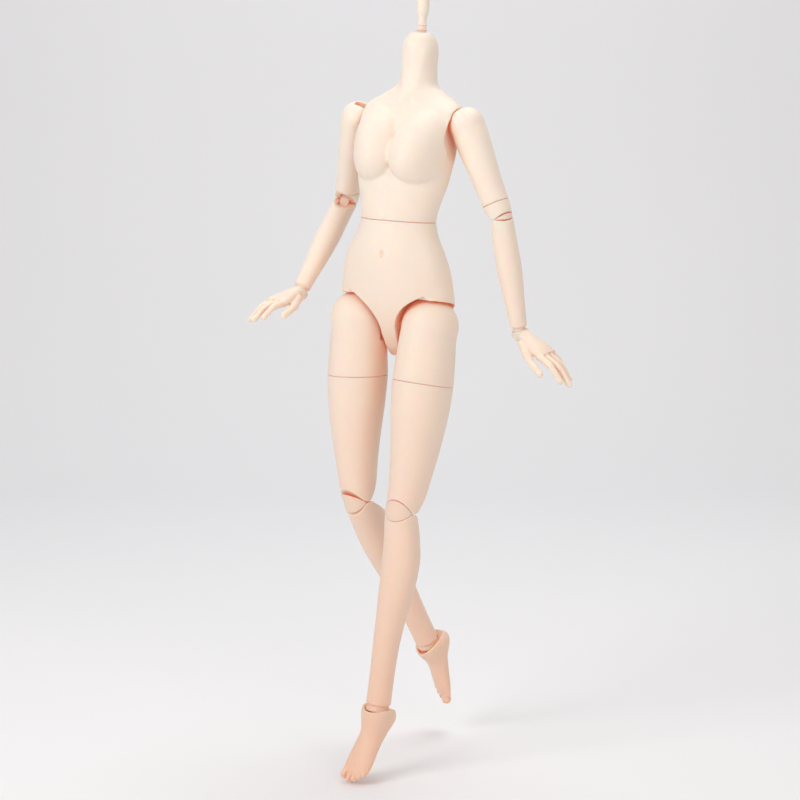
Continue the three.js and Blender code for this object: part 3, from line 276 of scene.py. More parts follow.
# Fineness of the shapes: faces around, steps along, and millimetres between a loft's rings
ROUND_SIDES = 64
LOFT_SIDES = 96
TRUNK_SIDES = 200
TUBE_SIDES = 28
NAIL_SIDES = 32
ARC_STEPS = 24
TUBE_STEPS = 40
TIP_STEPS = 8
RIM_STEPS = 16
LIMB_PITCH = 1.4
TRUNK_PITCH = 1.0
END_PITCH = 0.8
LOOK_AHEAD = 0.01
TIP_SHARE = 0.97
# Radius that stands for a point, and distance at which points are one
POINT_SHARE = 1e-4
WELD = GAP / SPAN
SLAB_HALF = 320.0

# Casting: the peg's mesh size, the links' share of the limbs', and the softening of the edges
PEG_GRAIN = 0.3
LINK_GRAIN_SHARE = 0.7
SOFTEN_SHARE = 0.5
SOFTEN_PASSES = 3

# Cast plastic: depths and reaches in metres; glow is the strength of a painted glow in creases and
# sockets
PLASTIC = {"refraction": 1.46, "scatter": 0.5, "scatter_depth": 0.008,
           "scatter_colour": (1.0, 0.35, 0.16), "coat_roughness": 0.35, "glow": 0.22,
           "bump": 0.16, "bump_depth": 0.0002}
SKIN_ROUGHNESS = 0.48
LINK_ROUGHNESS = 0.42
LINK_SHADE = 0.94
# Patterns: cells to the metre, detail and roughness
CLOUD = (14.0, 4.0, 0.55)
MOTTLE = (160.0, 3.0, 0.6)
PEEL = (1500.0, 2.0, 0.5)
HAZE = (240.0, 4.0, 0.5)
FLECK = (3.0, 2.0, 0.5)
PORES = 2600.0
MIDDLE = 0.5
# Tints from a pattern: start, gain and strength
CLOUD_TINT = (0.42, 1.5, 0.2)
MOTTLE_TINT = (MIDDLE, 0.5, 0.6)
# What the patterns add to the roughness and to the height of the surface
MOTTLE_ROUGHNESS, PEEL_ROUGHNESS = 0.16, 0.08
PEEL_HEIGHT, PORE_HEIGHT, MOTTLE_HEIGHT = 0.7, 0.3, 1.2
# Painted shade down the body, darker and warmer towards the feet: gain for each metre below the neck,
# what is taken off, and the curve
PAINTED_HEIGHT_SHADE = {"gain": 1.9, "off": 0.12, "curve": 1.5}
# Painted shade and painted glow where other surfaces are close: reach, then gain on the covered share
# and what is taken off
CREASE_REACH, CREASE = 0.008, (2.2, 1.15)
SHADE_REACH, SHADE, CAVE = 0.05, (2.2, 0.4), (2.5, 1.5)
# Curve and strength of the painted crease shade and of its painted glow; then strengths of the
# painted shade in hollows and the painted glow in sockets
CREASE_CURVE, CREASE_SHADE, CREASE_GLOW = 1.2, 0.5, 0.6
SHADE_TINT, CAVE_GLOW = 0.75, 0.5
# Colour of the painted glow, as shares of the crease colour
GLOW_TONE = (1, 0.45, 0.4)
OPEN_SAMPLES = 8
# Pin steel
STEEL = {"rings": 900.0, "distortion": 1.5, "detail": 2.0, "dull": 0.7, "dull_share": 0.6,
         "haze_roughness": 0.25, "ring_roughness": 0.08, "roughness": 0.2,
         "bump": 0.2, "bump_depth": 0.0001}

# Stage in metres: the sweep's floor, bend and wall, the paper's two tones, the room's light
SWEEP = {"front": -9.0, "back": 1.3, "bend": 0.7, "height": 3.0, "half_width": 7.0,
         "below": 0.002, "steps": 16}
PAPER_TONES = ((0.86, 0.86, 0.875), (0.88, 0.88, 0.895))
PAPER_ROUGHNESS = 0.9
ROOM_COLOUR = (1.0, 0.985, 0.975, 1)
ROOM_LEVEL = 0.48
# Camera: turn and dip in degrees, lens and sensor in millimetres
VIEW_TURN = 28.0
CAMERA_DIP = 6.4
CAMERA_LENS = 84.6
CAMERA_SENSOR = 36.0
CAMERA_SPOT = (0.65441, -1.269, -0.14603)
# Lamps: name, place, aim, size, power and colour
LAMPS = (
    ("key", (-0.5, -1.3, 0.5), (0, 0, -0.17), 0.8, 10.6, (1.0, 0.985, 0.97)),
    ("fill", (1.25, -1.1, 0.3), (0, 0, -0.22), 1.0, 6.5, (1.0, 0.87, 0.76)),
    ("top", (0.1, 0.3, 1.1), (0, 0, -0.2), 0.8, 6.0, (1.0, 1.0, 1.0)),
    ("wall", (-0.42, 0.79, 1.25), (-0.89, 1.68, 0.0), 1.4, 7.0, (0.96, 0.98, 1.0)),
)


class DollSettings(bpy.types.PropertyGroup):
    skin_colour: bpy.props.FloatVectorProperty(
        name="Skin plastic", description="Colour of the cast pieces at the neck", subtype="COLOR",
        size=3, min=0, max=1, default=(0.9, 0.81, 0.71))
    # Painted shade: the skin's colour towards the toes and in hollows between pieces
    painted_shade_colour: bpy.props.FloatVectorProperty(
        name="Painted shade", description="Colour of the cast pieces at the toes", subtype="COLOR",
        size=3, min=0, max=1, default=(0.83, 0.545, 0.4))
    # Painted crease shade and painted glow: colour where pieces meet and in sockets
    painted_crease_colour: bpy.props.FloatVectorProperty(
        name="Painted crease shade and glow", description="Colour where pieces meet", subtype="COLOR", size=3,
        min=0, max=1, default=(0.72, 0.3, 0.15))
    blush_colour: bpy.props.FloatVectorProperty(
        name="Blush", description="Pinker tone in the cast plastic", subtype="COLOR", size=3,
        min=0, max=1, default=(0.9, 0.64, 0.5))
    steel_colour: bpy.props.FloatVectorProperty(
        name="Pins", description="Colour of the joint pins", subtype="COLOR", size=3,
        min=0, max=1, default=(0.62, 0.62, 0.64))
    trunk_grain: bpy.props.FloatProperty(
        name="Trunk detail", description="Mesh size on the trunk, in millimetres", default=0.6)
    limb_grain: bpy.props.FloatProperty(
        name="Limb detail", description="Mesh size on arms and legs, in millimetres", default=0.48)
    fine_grain: bpy.props.FloatProperty(
        name="Hand detail", description="Mesh size on hands and feet, in millimetres", default=0.36)
    kept_share: bpy.props.FloatProperty(
        name="Kept faces", description="Share of the fine faces that is kept", subtype="FACTOR",
        min=0.05, max=1, default=0.25)


# Solids in millimetres
def solid(points, faces):
    mesh = bpy.data.meshes.new("work")
    mesh.from_pydata([tuple(point) for point in points], [], faces)
    shape = bmesh.new()
    shape.from_mesh(mesh)
    bmesh.ops.remove_doubles(shape, verts=shape.verts, dist=WELD)
    bmesh.ops.recalc_face_normals(shape, faces=shape.faces)
    shape.to_mesh(mesh)
    shape.free()
    piece = bpy.data.objects.new("work", mesh)
    bpy.context.scene.collection.objects.link(piece)
    return piece


def applied(piece):
    graph = bpy.context.evaluated_depsgraph_get()
    fresh = bpy.data.meshes.new_from_object(piece.evaluated_get(graph))
    stale = piece.data
    piece.modifiers.clear()
    piece.data = fresh
    bpy.data.meshes.remove(stale)
    return piece


def combine(base, others, operation):
    for other in others:
        step = base.modifiers.new("step", "BOOLEAN")
        step.operation = operation
        step.solver = "MANIFOLD"
        step.object = other
        applied(base)
        stale = other.data
        bpy.data.objects.remove(other)
        bpy.data.meshes.remove(stale)
    return base


def join(base, *others):
    return combine(base, others, "UNION")


def cut(base, *others):
    return combine(base, others, "DIFFERENCE")


def common(base, *others):
    return combine(base, others, "INTERSECT")


def shifted(piece, x=0.0, y=0.0, z=0.0):
    piece.data.transform(Matrix.Translation((x, y, z)))
    return piece


def tilted(piece, degrees, axis):
    piece.data.transform(Matrix.Rotation(math.radians(degrees), 4, axis))
    return piece


def ring_faces(rings, sides):
    faces = []
    for level in range(rings - 1):
        for side in range(sides):
            here = level * sides + side
            beside = level * sides + (side + 1) % sides
            faces.append((here, here + sides, beside + sides, beside))
    faces.append(tuple(range(sides)))
    faces.append(tuple(range((rings - 1) * sides, rings * sides)))
    return faces


def rod(radius, low, high, axis):
    points = []
    for height in (low, high):
        for side in range(ROUND_SIDES):
            angle = 2 * math.pi * side / ROUND_SIDES
            across, along = radius * math.cos(angle), radius * math.sin(angle)
            points.append({"x": (height, across, along), "y": (across, height, along),
                           "z": (across, along, height)}[axis])
    return solid(points, ring_faces(2, ROUND_SIDES))


def lathe(profile, sides=ROUND_SIDES):
    points = []
    for radius, height in profile:
        for side in range(sides):
            angle = 2 * math.pi * side / sides
            points.append((radius * math.cos(angle), radius * math.sin(angle), height))
    return solid(points, ring_faces(len(profile), sides))


def ball(radius, sides=ROUND_SIDES):
    steps = sides // 2
    tiny = radius * POINT_SHARE
    profile = [(max(radius * math.sin(math.pi * step / steps), tiny),
                radius * math.cos(math.pi * step / steps)) for step in range(steps + 1)]
    return lathe(profile, sides)


def plate(outline, half, across):
    """Prism over an outline in the plane square to `across`."""
    points = []
    for depth in (-half, half):
        for first, second in outline:
            points.append((depth, first, second) if across == "x" else (first, depth, second))
    return solid(points, ring_faces(2, len(outline)))


def slab(top, bottom):
    outline = [(-SLAB_HALF, bottom), (SLAB_HALF, bottom), (SLAB_HALF, top), (-SLAB_HALF, top)]
    return plate(outline, SLAB_HALF, "y")


# Lofts
def section_at(rows, drop):
    """Row of the table at a drop, on a smooth curve through its neighbours."""
    low = 0
    while low < len(rows) - 2 and rows[low + 1][0] < drop:
        low += 1
    start, end = rows[low], rows[low + 1]
    before, after = rows[max(low - 1, 0)], rows[min(low + 2, len(rows) - 1)]
    span = end[0] - start[0]
    share = min(max((drop - start[0]) / span, 0), 1)
    values = []
    for column, value in enumerate(start):
        slope_start = (end[column] - before[column]) / (end[0] - before[0])
        slope_end = (after[column] - value) / (after[0] - start[0])
        rise = end[column] - value
        bend = slope_start * span - rise
        counter = rise - slope_end * span
        curve = share * (1 - share) * ((1 - share) * bend + share * counter)
        values.append(value + share * rise + curve)
    return values


def loft(rows, low, high, sides=LOFT_SIDES, pitch=LIMB_PITCH, relief=None):
    """Skin through the table from the drop `low` to the drop `high`, in millimetres."""
    rings = max(2, round((high - low) / pitch) + 1)
    points = []
    for ring in range(rings):
        drop = low + (high - low) * ring / (rings - 1)
        row = section_at(rows, drop / SPAN)
        power = 1 / row[5]
        for side in range(sides):
            angle = 2 * math.pi * side / sides
            across, along = math.cos(angle), math.sin(angle)
            depth = row[3] if along > 0 else row[2]
            x = (math.copysign(abs(across) ** power, across) * row[1] + row[6]) * SPAN
            y = (math.copysign(abs(along) ** power, along) * depth - row[4]) * SPAN
            point = Vector((x, y, -drop))
            if relief:
                relief(point, along)
            points.append(point)
    return solid(points, ring_faces(rings, sides))


def tube(path, radii):
    """Round bar along a smooth path with a rounded end."""
    joints = [Vector(point) for point in path]

    def along(share):
        place = share * (len(joints) - 1)
        low = min(int(place), len(joints) - 2)
        part = place - low
        start, end = joints[low], joints[low + 1]
        before = joints[low - 1] if low else start * 2 - end
        after = joints[low + 2] if low + 2 < len(joints) else end * 2 - start
        return 0.5 * (2 * start + (end - before) * part
                      + (2 * before - 5 * start + 4 * end - after) * part ** 2
                      + (3 * start - before - 3 * end + after) * part ** 3)

    points = []
    for step in range(TUBE_STEPS + TIP_STEPS):
        share = min(step / (TUBE_STEPS - 1), 1)
        middle = along(share)
        front = min(share + LOOK_AHEAD, 1)
        ahead = (along(front) - along(front - 2 * LOOK_AHEAD)).normalized()
        side_way = Vector((0, 1, 0)).cross(ahead).normalized()
        up = ahead.cross(side_way)
        place = share * (len(radii) - 1)
        low = min(int(place), len(radii) - 2)
        radius = radii[low] + (radii[low + 1] - radii[low]) * (place - low)
        if step >= TUBE_STEPS:
            turn = (step - TUBE_STEPS + 1) / TIP_STEPS * math.pi / 2 * TIP_SHARE
            middle = middle + ahead * radius * math.sin(turn)
            radius *= math.cos(turn)
        for side in range(TUBE_SIDES):
            angle = 2 * math.pi * side / TUBE_SIDES
            points.append(middle + side_way * radius * math.cos(angle)
                          + up * radius * math.sin(angle))
    return solid(points, ring_faces(TUBE_STEPS + TIP_STEPS, TUBE_SIDES))


# Trunk
def stroke_fill(point, stroke, side):
    """Rise that one modelling stroke gives at a point of the trunk."""
    x_from, z_from, x_to, z_to, width, rise = stroke
    start = Vector((side * x_from, z_from))
    run = Vector((side * x_to, z_to)) - start
    here = Vector((point.x, point.z)) - start
    share = min(max(here.dot(run) / run.length_squared, 0), 1)
    away = (here - run * share).length / width
    return rise * math.exp(-away * away)


def trunk_relief(point, along):
    """Moves a point of the trunk's skin out or in by the strokes and the bust."""
    facing = -along if along < 0 else along
    strokes = FRONT_STROKES if along < 0 else BACK_STROKES
    outward = -1 if along < 0 else 1
    fade = min(facing * RELIEF_FADE, 1)
    x, z = point.x, point.z
    place = Vector((x, 0, z))
    push = 0.0
    for stroke in strokes:
        sides = (-1, 1) if stroke[0] or stroke[2] else (1,)
        push += max((stroke_fill(place, stroke, side) for side in sides), key=abs)
    if along < 0:
        for side in (-1, 1):
            across = (x - side * BUST["side"]) / BUST["wide"]
            rise = z + BUST["drop"]
            up = rise / (BUST["above"] if rise > 0 else BUST["below"])
            push += BUST["reach"] * max(1 - across * across - up * up, 0) ** BUST["fullness"]
    point.y += outward * fade * push


def ball_bore(link, side):
    pocket_end = link["inner"] - link["flange_length"] - GAP
    low, high = -link["inner"], -link["tongue"]
    bore = rod(link["axle"] + GAP, *sorted((side * low, side * high)), "x")
    pocket = rod(link["flange"] + GAP, *sorted((side * (low - GAP), -side * pocket_end)), "x")
    return join(bore, pocket)


def socket_room(socket, lean):
    room = ball(socket["radius"])
    for turn, extra, outward in socket["openings"]:
        opening = shifted(rod(socket["radius"] + extra, -REACH, 0, "z"), x=lean * outward)
        opening = tilted(opening, lean * socket["tilt"], "Y")
        room = join(room, tilted(opening, -turn, "X"))
    return room


def waist_depth():
    return -section_at(TRUNK_ROWS, WAIST_DROP / SPAN)[4] * SPAN


def trunk_form(low, high):
    return loft(TRUNK_ROWS, low, high, TRUNK_SIDES, TRUNK_PITCH, trunk_relief)


def chest_shape():
    chest = trunk_form(0, WAIST_DROP - HAIRLINE)
    for side in (-1, 1):
        place = (side * SHOULDER[0], *SHOULDER[1:])
        cut(chest, shifted(socket_room(ARM_SOCKET, -side), *place))
        cut(chest, shifted(ball_bore(SHOULDER_LINK, side), *place))
    room = shifted(ball(NECK["ball"] + 2 * GAP), z=-NECK_BALL_DROP)
    half, straight = NECK["slot_half"], NECK["slot_length"] / 2 - NECK["slot_half"]
    slot = join(shifted(rod(half, -NECK_BALL_DROP, OVER, "z"), y=straight),
                shifted(rod(half, -NECK_BALL_DROP, OVER, "z"), y=-straight),
                shifted(plate([(-straight, -NECK_BALL_DROP), (straight, -NECK_BALL_DROP),
                               (straight, OVER), (-straight, OVER)], half, "x")))
    pin_end = NECK["pin_half"] + GAP
    pin = shifted(rod(NECK["pin"] + GAP, -pin_end, pin_end, "x"), z=-NECK_BALL_DROP)
    cut(chest, room, slot, pin)
    top = -WAIST_DROP + WAIST_POST["height"] + GAP
    post = rod(WAIST_POST["radius"] + GAP, -WAIST_DROP - OVER, top, "z")
    lip = rod(WAIST_POST["lip"] + GAP, top - WAIST_POST["lip_height"] - 2 * GAP, top, "z")
    return cut(chest, shifted(join(post, lip), y=waist_depth()))


def pelvis_shape():
    pelvis = trunk_form(WAIST_DROP + HAIRLINE, TRUNK_DROP)
    for side in (-1, 1):
        place = (side * HIP[0], *HIP[1:])
        cut(pelvis, shifted(socket_room(HIP_SOCKET, side), *place))
        cut(pelvis, shifted(ball_bore(HIP_LINK, side), *place))
    navel = ball(NAVEL["high"])
    flat = (NAVEL["wide"] / NAVEL["high"], NAVEL["depth"] / NAVEL["high"], 1, 1)
    navel.data.transform(Matrix.Diagonal(flat))
    belly = section_at(TRUNK_ROWS, NAVEL["drop"] / SPAN)
    cut(pelvis, shifted(navel, y=-(belly[2] + belly[4]) * SPAN, z=-NAVEL["drop"]))
    foot = -WAIST_DROP - WAIST_POST["height"]
    post = rod(WAIST_POST["radius"] + GAP, foot, -WAIST_DROP + OVER, "z")
    return cut(pelvis, shifted(post, y=waist_depth()))


def peg_shape():
    """Head peg: stem with two rings, a long bulb and a flat crown."""
    tail_top = PEG["tail_top"] - NECK_BALL_DROP + GAP
    stem = [(PEG["tail"], PEG["tail_foot"] - NECK_BALL_DROP), (PEG["tail"], tail_top),
            (PEG["stem"], tail_top), (PEG["stem"], PEG_RING_FEET[0])]
    lower, upper = ([(radius, foot + height) for radius, height in PEG_RING]
                    for foot in PEG_RING_FEET)
    return lathe([*stem, *lower, PEG_NECK, *upper, *PEG_BULB], LOFT_SIDES)


# Limb joints
def ball_slot(link):
    half = link["axle"] + GAP
    low, high = math.radians(link["low"]), math.radians(link["high"])
    outline = [(half * -math.sin(low), -half * math.cos(low))]
    for step in range(ARC_STEPS + 1):
        turn = -low + (high + low) * step / ARC_STEPS
        outline.append([-REACH * math.cos(turn), REACH * math.sin(turn)])
    outline[1][0] -= half * math.sin(low)
    outline[1][1] -= half * math.cos(low)
    outline[-1][0] += half * math.sin(high)
    outline[-1][1] += half * math.cos(high)
    outline.append((half * math.sin(high), half * math.cos(high)))
    pin_end = link["pin_half"] + GAP
    return join(plate(outline, half, "y"), rod(link["tongue"] + GAP, -half, half, "y"),
                rod(link["pin"] + GAP, -pin_end, pin_end, "y"))


def nose_outline(hinge, end):
    stop, free = math.radians(hinge["stop"]), math.radians(hinge["free"])
    shift, rise, nose = hinge["shift"], hinge["rise"], hinge["nose"]
    front_y, front_z = -shift - nose * math.sin(stop), rise - nose * math.cos(stop)
    back_y, back_z = -shift + nose * math.sin(free), rise - nose * math.cos(free)
    outline = [(-REACH, FAR), (-REACH, front_z + math.tan(stop) * (front_y + REACH))]
    for step in range(ARC_STEPS + 1):
        turn = -stop + (stop + free) * step / ARC_STEPS
        outline.append((-shift + nose * math.sin(turn), rise - nose * math.cos(turn)))
    outline += [(REACH, back_z + math.tan(free) * (REACH - back_y)), (REACH, FAR)]
    return [(hinge["side"] * y, end * z) for y, z in outline]


def wedge_outline(hinge):
    stop = math.radians(hinge["stop"])
    radius = hinge["nose"] + GAP
    face_y = -hinge["shift"] - radius * math.sin(stop)
    face_z = hinge["rise"] - radius * math.cos(stop)
    rise = face_z + math.tan(stop) * (face_y + REACH)
    tip = face_y + face_z / math.tan(stop)
    side = hinge["side"]
    return [(side * tip, 0), (-side * REACH, rise), (-side * REACH, -rise)]


def pin_depth(hinge):
    return -hinge["side"] * hinge["shift"]


def limb(rows, low, high, centre):
    """Loft of part of a limb, lifted so that the joint at `centre` is at the origin."""
    return shifted(loft(rows, low, high), z=centre)


def hinge_link_shape(hinge, rows, centre):
    depth, rise = pin_depth(hinge), hinge["rise"]
    bar = []
    for end in (1, -1):
        for step in range(ARC_STEPS + 1):
            turn = math.pi * step / ARC_STEPS
            bar.append((depth + end * hinge["plate"] * math.cos(turn),
                        end * (rise + hinge["plate"] * math.sin(turn))))
    low, high = centre - LINK_RUN, centre + LINK_RUN
    cap = common(plate(wedge_outline(hinge), REACH, "x"), limb(rows, low, high, centre))
    for end in (1, -1):
        cut(cap, shifted(rod(hinge["nose"] + GAP, -REACH, REACH, "x"), y=depth, z=end * rise))
    web = common(plate(wedge_outline(hinge), hinge["plate_half"], "x"),
                 limb(rows, low, high, centre))
    tongue = common(plate(bar, hinge["plate_half"], "x"), limb(rows, low, high, centre))
    join(cap, web, tongue)
    for end in (1, -1):
        cut(cap, shifted(rod(hinge["pin"] + GAP, -REACH, REACH, "x"), y=depth, z=end * rise))
    return cap


def hinge_end(shaft, hinge, end):
    depth, lift = pin_depth(hinge), end * hinge["rise"]
    room, half = hinge["plate"] + GAP, hinge["plate_half"] + GAP
    turn = math.radians(hinge["open"])
    side = hinge["side"]
    free = depth + side * room * math.cos(turn)
    ledge = lift + end * room * math.sin(turn)
    slot = [(depth - side * room, lift), (depth - side * room, -end * REACH),
            (side * REACH, -end * REACH), (side * REACH, ledge), (free, ledge)]
    common(shaft, plate(nose_outline(hinge, end), REACH, "x"))
    pin_end = hinge["pin_half"] + GAP
    return cut(shaft, plate(slot, half, "x"),
               shifted(rod(room, -half, half, "x"), y=depth, z=lift),
               shifted(rod(hinge["pin"] + GAP, -pin_end, pin_end, "x"), y=depth, z=lift))


def spigot(swivel, drop):
    post = rod(swivel["radius"], -drop - OVER, -drop + swivel["height"], "z")
    lip_foot = -drop + swivel["height"] - swivel["lip_height"]
    return join(post, rod(swivel["lip"], lip_foot, -drop + swivel["height"], "z"))


def spigot_bore(swivel, drop):
    top = -drop + swivel["height"] + GAP
    bore = rod(swivel["radius"] + GAP, -drop - OVER, top, "z")
    return join(bore, rod(swivel["lip"] + GAP, top - swivel["lip_height"] - 2 * GAP, top, "z"))


def rounded_end(shaft, end):
    """Rounds the limb's end into the cup below it and bores it for the end peg."""
    radius = end["end"]
    tiny = radius * POINT_SHARE
    cone = lathe([(tiny, 0), (radius * CONE_RADIUS, radius * CONE_FOOT), (REACH, REACH),
                  (REACH, FAR), (tiny, FAR)])
    common(shaft, join(ball(radius), cone, rod(radius * CONE_FOOT, 0, FAR, "z")))
    return cut(shaft, rod(end["peg"] + GAP, -REACH, end["peg_height"] + GAP, "z"),
               rod(end["pocket"], -REACH, end["pocket_height"], "z"))


def cup_cut(end):
    bowl = cut(ball(end["cup"]), slab(-end["floor"], -REACH))
    pin_end = end["pin_half"] + GAP
    return join(bowl, rod(end["eye"] + GAP, -end["eye_half"] - GAP, end["eye_half"] + GAP, "x"),
                rod(end["pin"] + GAP, -pin_end, pin_end, "x"))


# Arm and leg pieces
def head_piece(rows, seam, radius, link, swivel):
    shaft = join(loft(rows, 0, seam - HAIRLINE), ball(radius))
    return cut(shaft, ball_slot(link), spigot_bore(swivel, seam))


def upper_arm_shape():
    return head_piece(ARM_ROWS, ARM_SEAM, ARM_HEAD, SHOULDER_LINK, ARM_SWIVEL)


def thigh_upper_shape():
    return head_piece(LEG_ROWS, LEG_SEAM, LEG_HEAD, HIP_LINK, LEG_SWIVEL)


def nose_piece(rows, seam, centre, hinge, swivel):
    shaft = limb(rows, seam + HAIRLINE, centre + HINGE_RUN, centre)
    return join(shifted(hinge_end(shaft, hinge, 1), z=-centre), spigot(swivel, seam))


def elbow_cup_shape():
    return nose_piece(ARM_ROWS, ARM_SEAM, UPPER_ARM, ELBOW, ARM_SWIVEL)


def thigh_lower_shape():
    return nose_piece(LEG_ROWS, LEG_SEAM, THIGH, KNEE, LEG_SWIVEL)


def lower_piece(rows, centre, length, hinge, end):
    total = centre + length
    shaft = hinge_end(limb(rows, centre - HINGE_RUN, total - end["lift"], centre), hinge, -1)
    return shifted(rounded_end(shifted(shaft, z=length), end), z=-length)


def forearm_shape():
    return lower_piece(ARM_ROWS, UPPER_ARM, FORE_ARM, ELBOW, WRIST)


def shin_shape():
    return lower_piece(LEG_ROWS, THIGH, SHIN, KNEE, ANKLE)


def elbow_link_shape():
    return hinge_link_shape(ELBOW, ARM_ROWS, UPPER_ARM)


def knee_link_shape():
    return hinge_link_shape(KNEE, LEG_ROWS, THIGH)


def nail(tip, ahead, up, radius):
    """Thin oval shield let into the upper side of a finger or toe."""
    shield = ball(1.0, NAIL_SIDES)
    across = up.cross(ahead).normalized()
    frame_at = Matrix((across, ahead, up)).transposed().to_4x4()
    size = Matrix.Diagonal((radius * NAIL["half_width"], radius * NAIL["half_length"],
                            radius * NAIL["half_depth"], 1))
    place = Matrix.Translation(tip - ahead * radius * NAIL["back"] + up * radius * NAIL["up"])
    shield.data.transform(place @ frame_at @ size)
    return shield


def foot_shape():
    foot = loft(FOOT_ROWS, FOOT_ROWS[0][0] * SPAN, FOOT_ROWS[-1][0] * SPAN, pitch=END_PITCH)
    for side, root, tip, root_front, tip_front, radius in TOE_ROWS:
        size = radius * SPAN
        start = Vector((side, -root_front, -root)) * SPAN
        end = Vector((side, -tip_front, radius - tip)) * SPAN
        join(foot, tube([start, (start + end) / 2, end], [size * swell for swell in TOE_SWELL]))
        ahead = (end - start).normalized()
        up = Vector((1, 0, 0)).cross(ahead).normalized()
        up = up if up.y < 0 else -up
        join(foot, nail(end, ahead, up, size))
    for beside, toe in zip(TOE_ROWS, TOE_ROWS[1:]):
        side = (beside[0] + beside[5] + toe[0] - toe[5]) / 2
        path = [Vector((side, forward, -drop)) * SPAN for forward, drop in TOE_GROOVE]
        cut(foot, tube(path, TOE_GROOVE_RADII))
    rim = []
    for step in range(-RIM_STEPS, RIM_STEPS + 1):
        share = step / RIM_STEPS
        height = FOOT_CUP_TOP + (FOOT_EAR_TOP - FOOT_CUP_TOP) * share * share
        rim.append((share * ANKLE["cup"] * FOOT_RIM_SHARE, height))
    rim += [(REACH, FOOT_EAR_TOP), (REACH, REACH), (-REACH, REACH), (-REACH, FOOT_EAR_TOP)]
    return cut(foot, plate(rim, REACH, "y"), cup_cut(ANKLE))


def hand_shape():
    palm = loft(PALM_ROWS, PALM_ROWS[0][0] * SPAN, PALM_ROWS[-1][0] * SPAN, pitch=END_PITCH)
    for row in FINGER_ROWS:
        path = [Vector((row[at], row[at + 2], -row[at + 1])) * SPAN for at in (0, 3, 6)]
        root, tip = row[9] * SPAN, row[10] * SPAN
        middle = (root + tip) / 2
        join(palm, tube(path, [root, *(middle * swell for swell in FINGER_MIDDLE),
                               *(tip * swell for swell in FINGER_END)]))
        ahead = (path[2] - path[1]).normalized()
        up = Vector((1, 0, 0)).cross(ahead).normalized()
        up = -up if up.y > 0 else up
        join(palm, nail(path[2], ahead, up, tip))
    tilted(palm, -HAND_BEND, "X")
    cup = common(ball(WRIST["cup"] + OVER), slab(WRIST["lift"] + GAP, -REACH))
    return cut(join(cup, palm), cup_cut(WRIST))


# Placing pieces from the joints
def joint_at(name):
    return Vector(JOINTS[name]["pos_m"])


def joint_way(name):
    return Vector(JOINTS[name]["axis"]).normalized()


def axes_at(origin, z_way, x_way=None, y_way=None):
    if x_way is None:
        x_way = y_way.cross(z_way).normalized()
    else:
        y_way = z_way.cross(x_way).normalized()
    turned = Matrix((x_way, y_way, z_way)).transposed().to_4x4()
    return Matrix.Translation(origin) @ turned @ Matrix.Scale(1 / METRE, 4)


def trunk_place():
    z_way = joint_way("head_turn")
    top = joint_at("head_turn") + z_way * NECK_BALL_DROP / METRE
    return axes_at(top, z_way, x_way=joint_way("neck_nod"))


def joint_pair_place(upper, lower, hinge):
    """Place of a double hinge's link, whose Z runs from its lower pin to its upper pin."""
    z_way = (joint_at(upper) - joint_at(lower)).normalized()
    x_way = joint_way(upper)
    y_way = z_way.cross(x_way)
    centre = (joint_at(upper) + joint_at(lower)) / 2 - y_way * pin_depth(hinge) / METRE
    return axes_at(centre, z_way, x_way=x_way)


def lower_place(lower, turn, hinge):
    """Place of the limb below a double hinge."""
    z_way, x_way = joint_way(turn), joint_way(lower)
    y_way = z_way.cross(x_way)
    shift = z_way * hinge["rise"] - y_way * pin_depth(hinge)
    return axes_at(joint_at(lower) + shift / METRE, z_way, x_way=x_way)


def end_place(turn, bend, degrees):
    x_way = joint_way(bend)
    z_way = Matrix.Rotation(math.radians(degrees), 3, x_way) @ joint_way(turn)
    return axes_at(joint_at(bend), z_way, x_way=x_way)


# Casting the smooth visible pieces
def cast(shape, name, body, node, place, grain, material, side=1):
    """Remeshes a shape so that its edges soften as on a moulding, and puts it on its body."""
    settings = bpy.context.scene.doll
    skin = shape.modifiers.new("skin", "REMESH")
    skin.mode = "VOXEL"
    skin.voxel_size = grain
    soften = shape.modifiers.new("soften", "SMOOTH")
    soften.factor = SOFTEN_SHARE
    soften.iterations = SOFTEN_PASSES
    thin = shape.modifiers.new("thin", "DECIMATE")
    thin.ratio = settings.kept_share
    applied(shape)
    mesh = shape.data
    mesh.name = shape.name = name
    mesh.transform(place @ Matrix.Diagonal((side, 1, 1, 1)))
    if side < 0:
        mesh.flip_normals()
    mesh.shade_smooth()
    mesh.materials.clear()
    mesh.materials.append(material)
    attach(shape, body)
    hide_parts(node)
    return shape


def copy_of(shape):
    twin = shape.copy()
    twin.data = shape.data.copy()
    bpy.context.scene.collection.objects.link(twin)
    return twin


def both_sides(shape, name, bodies, nodes, place_of, grain, material):
    """Casts one shape for the left side and its mirror image for the right side."""
    for word, side in (("left", 1), ("right", -1)):
        cast(copy_of(shape), f"{word}_{name}_cast", f"{word}_{bodies}", f"{word}_{nodes}",
             place_of(word), grain, material, side)
    stale = shape.data
    bpy.data.objects.remove(shape)
    bpy.data.meshes.remove(stale)


# Materials
class Value:
    """Shader value whose arithmetic adds Math nodes."""

    def __init__(self, paint, socket):
        self.paint = paint
        self.socket = socket

    def _math(self, operation, first, second, **extra):
        return self.paint.node("ShaderNodeMath", {"operation": operation, **extra},
                               {0: first, 1: second})

    def __add__(self, other):
        return self._math("ADD", self, other)

    __radd__ = __add__

    def __mul__(self, other):
        return self._math("MULTIPLY", self, other)

    __rmul__ = __mul__

    def __sub__(self, other):
        return self._math("SUBTRACT", self, other)

    def __rsub__(self, other):
        return self._math("SUBTRACT", other, self)

    def __pow__(self, other):
        return self._math("POWER", self, other)

    def clamped(self):
        return self._math("ADD", self, 0.0, use_clamp=True)

    def tint(self, start, gain, strength):
        return ((self - start) * gain).clamped() * strength


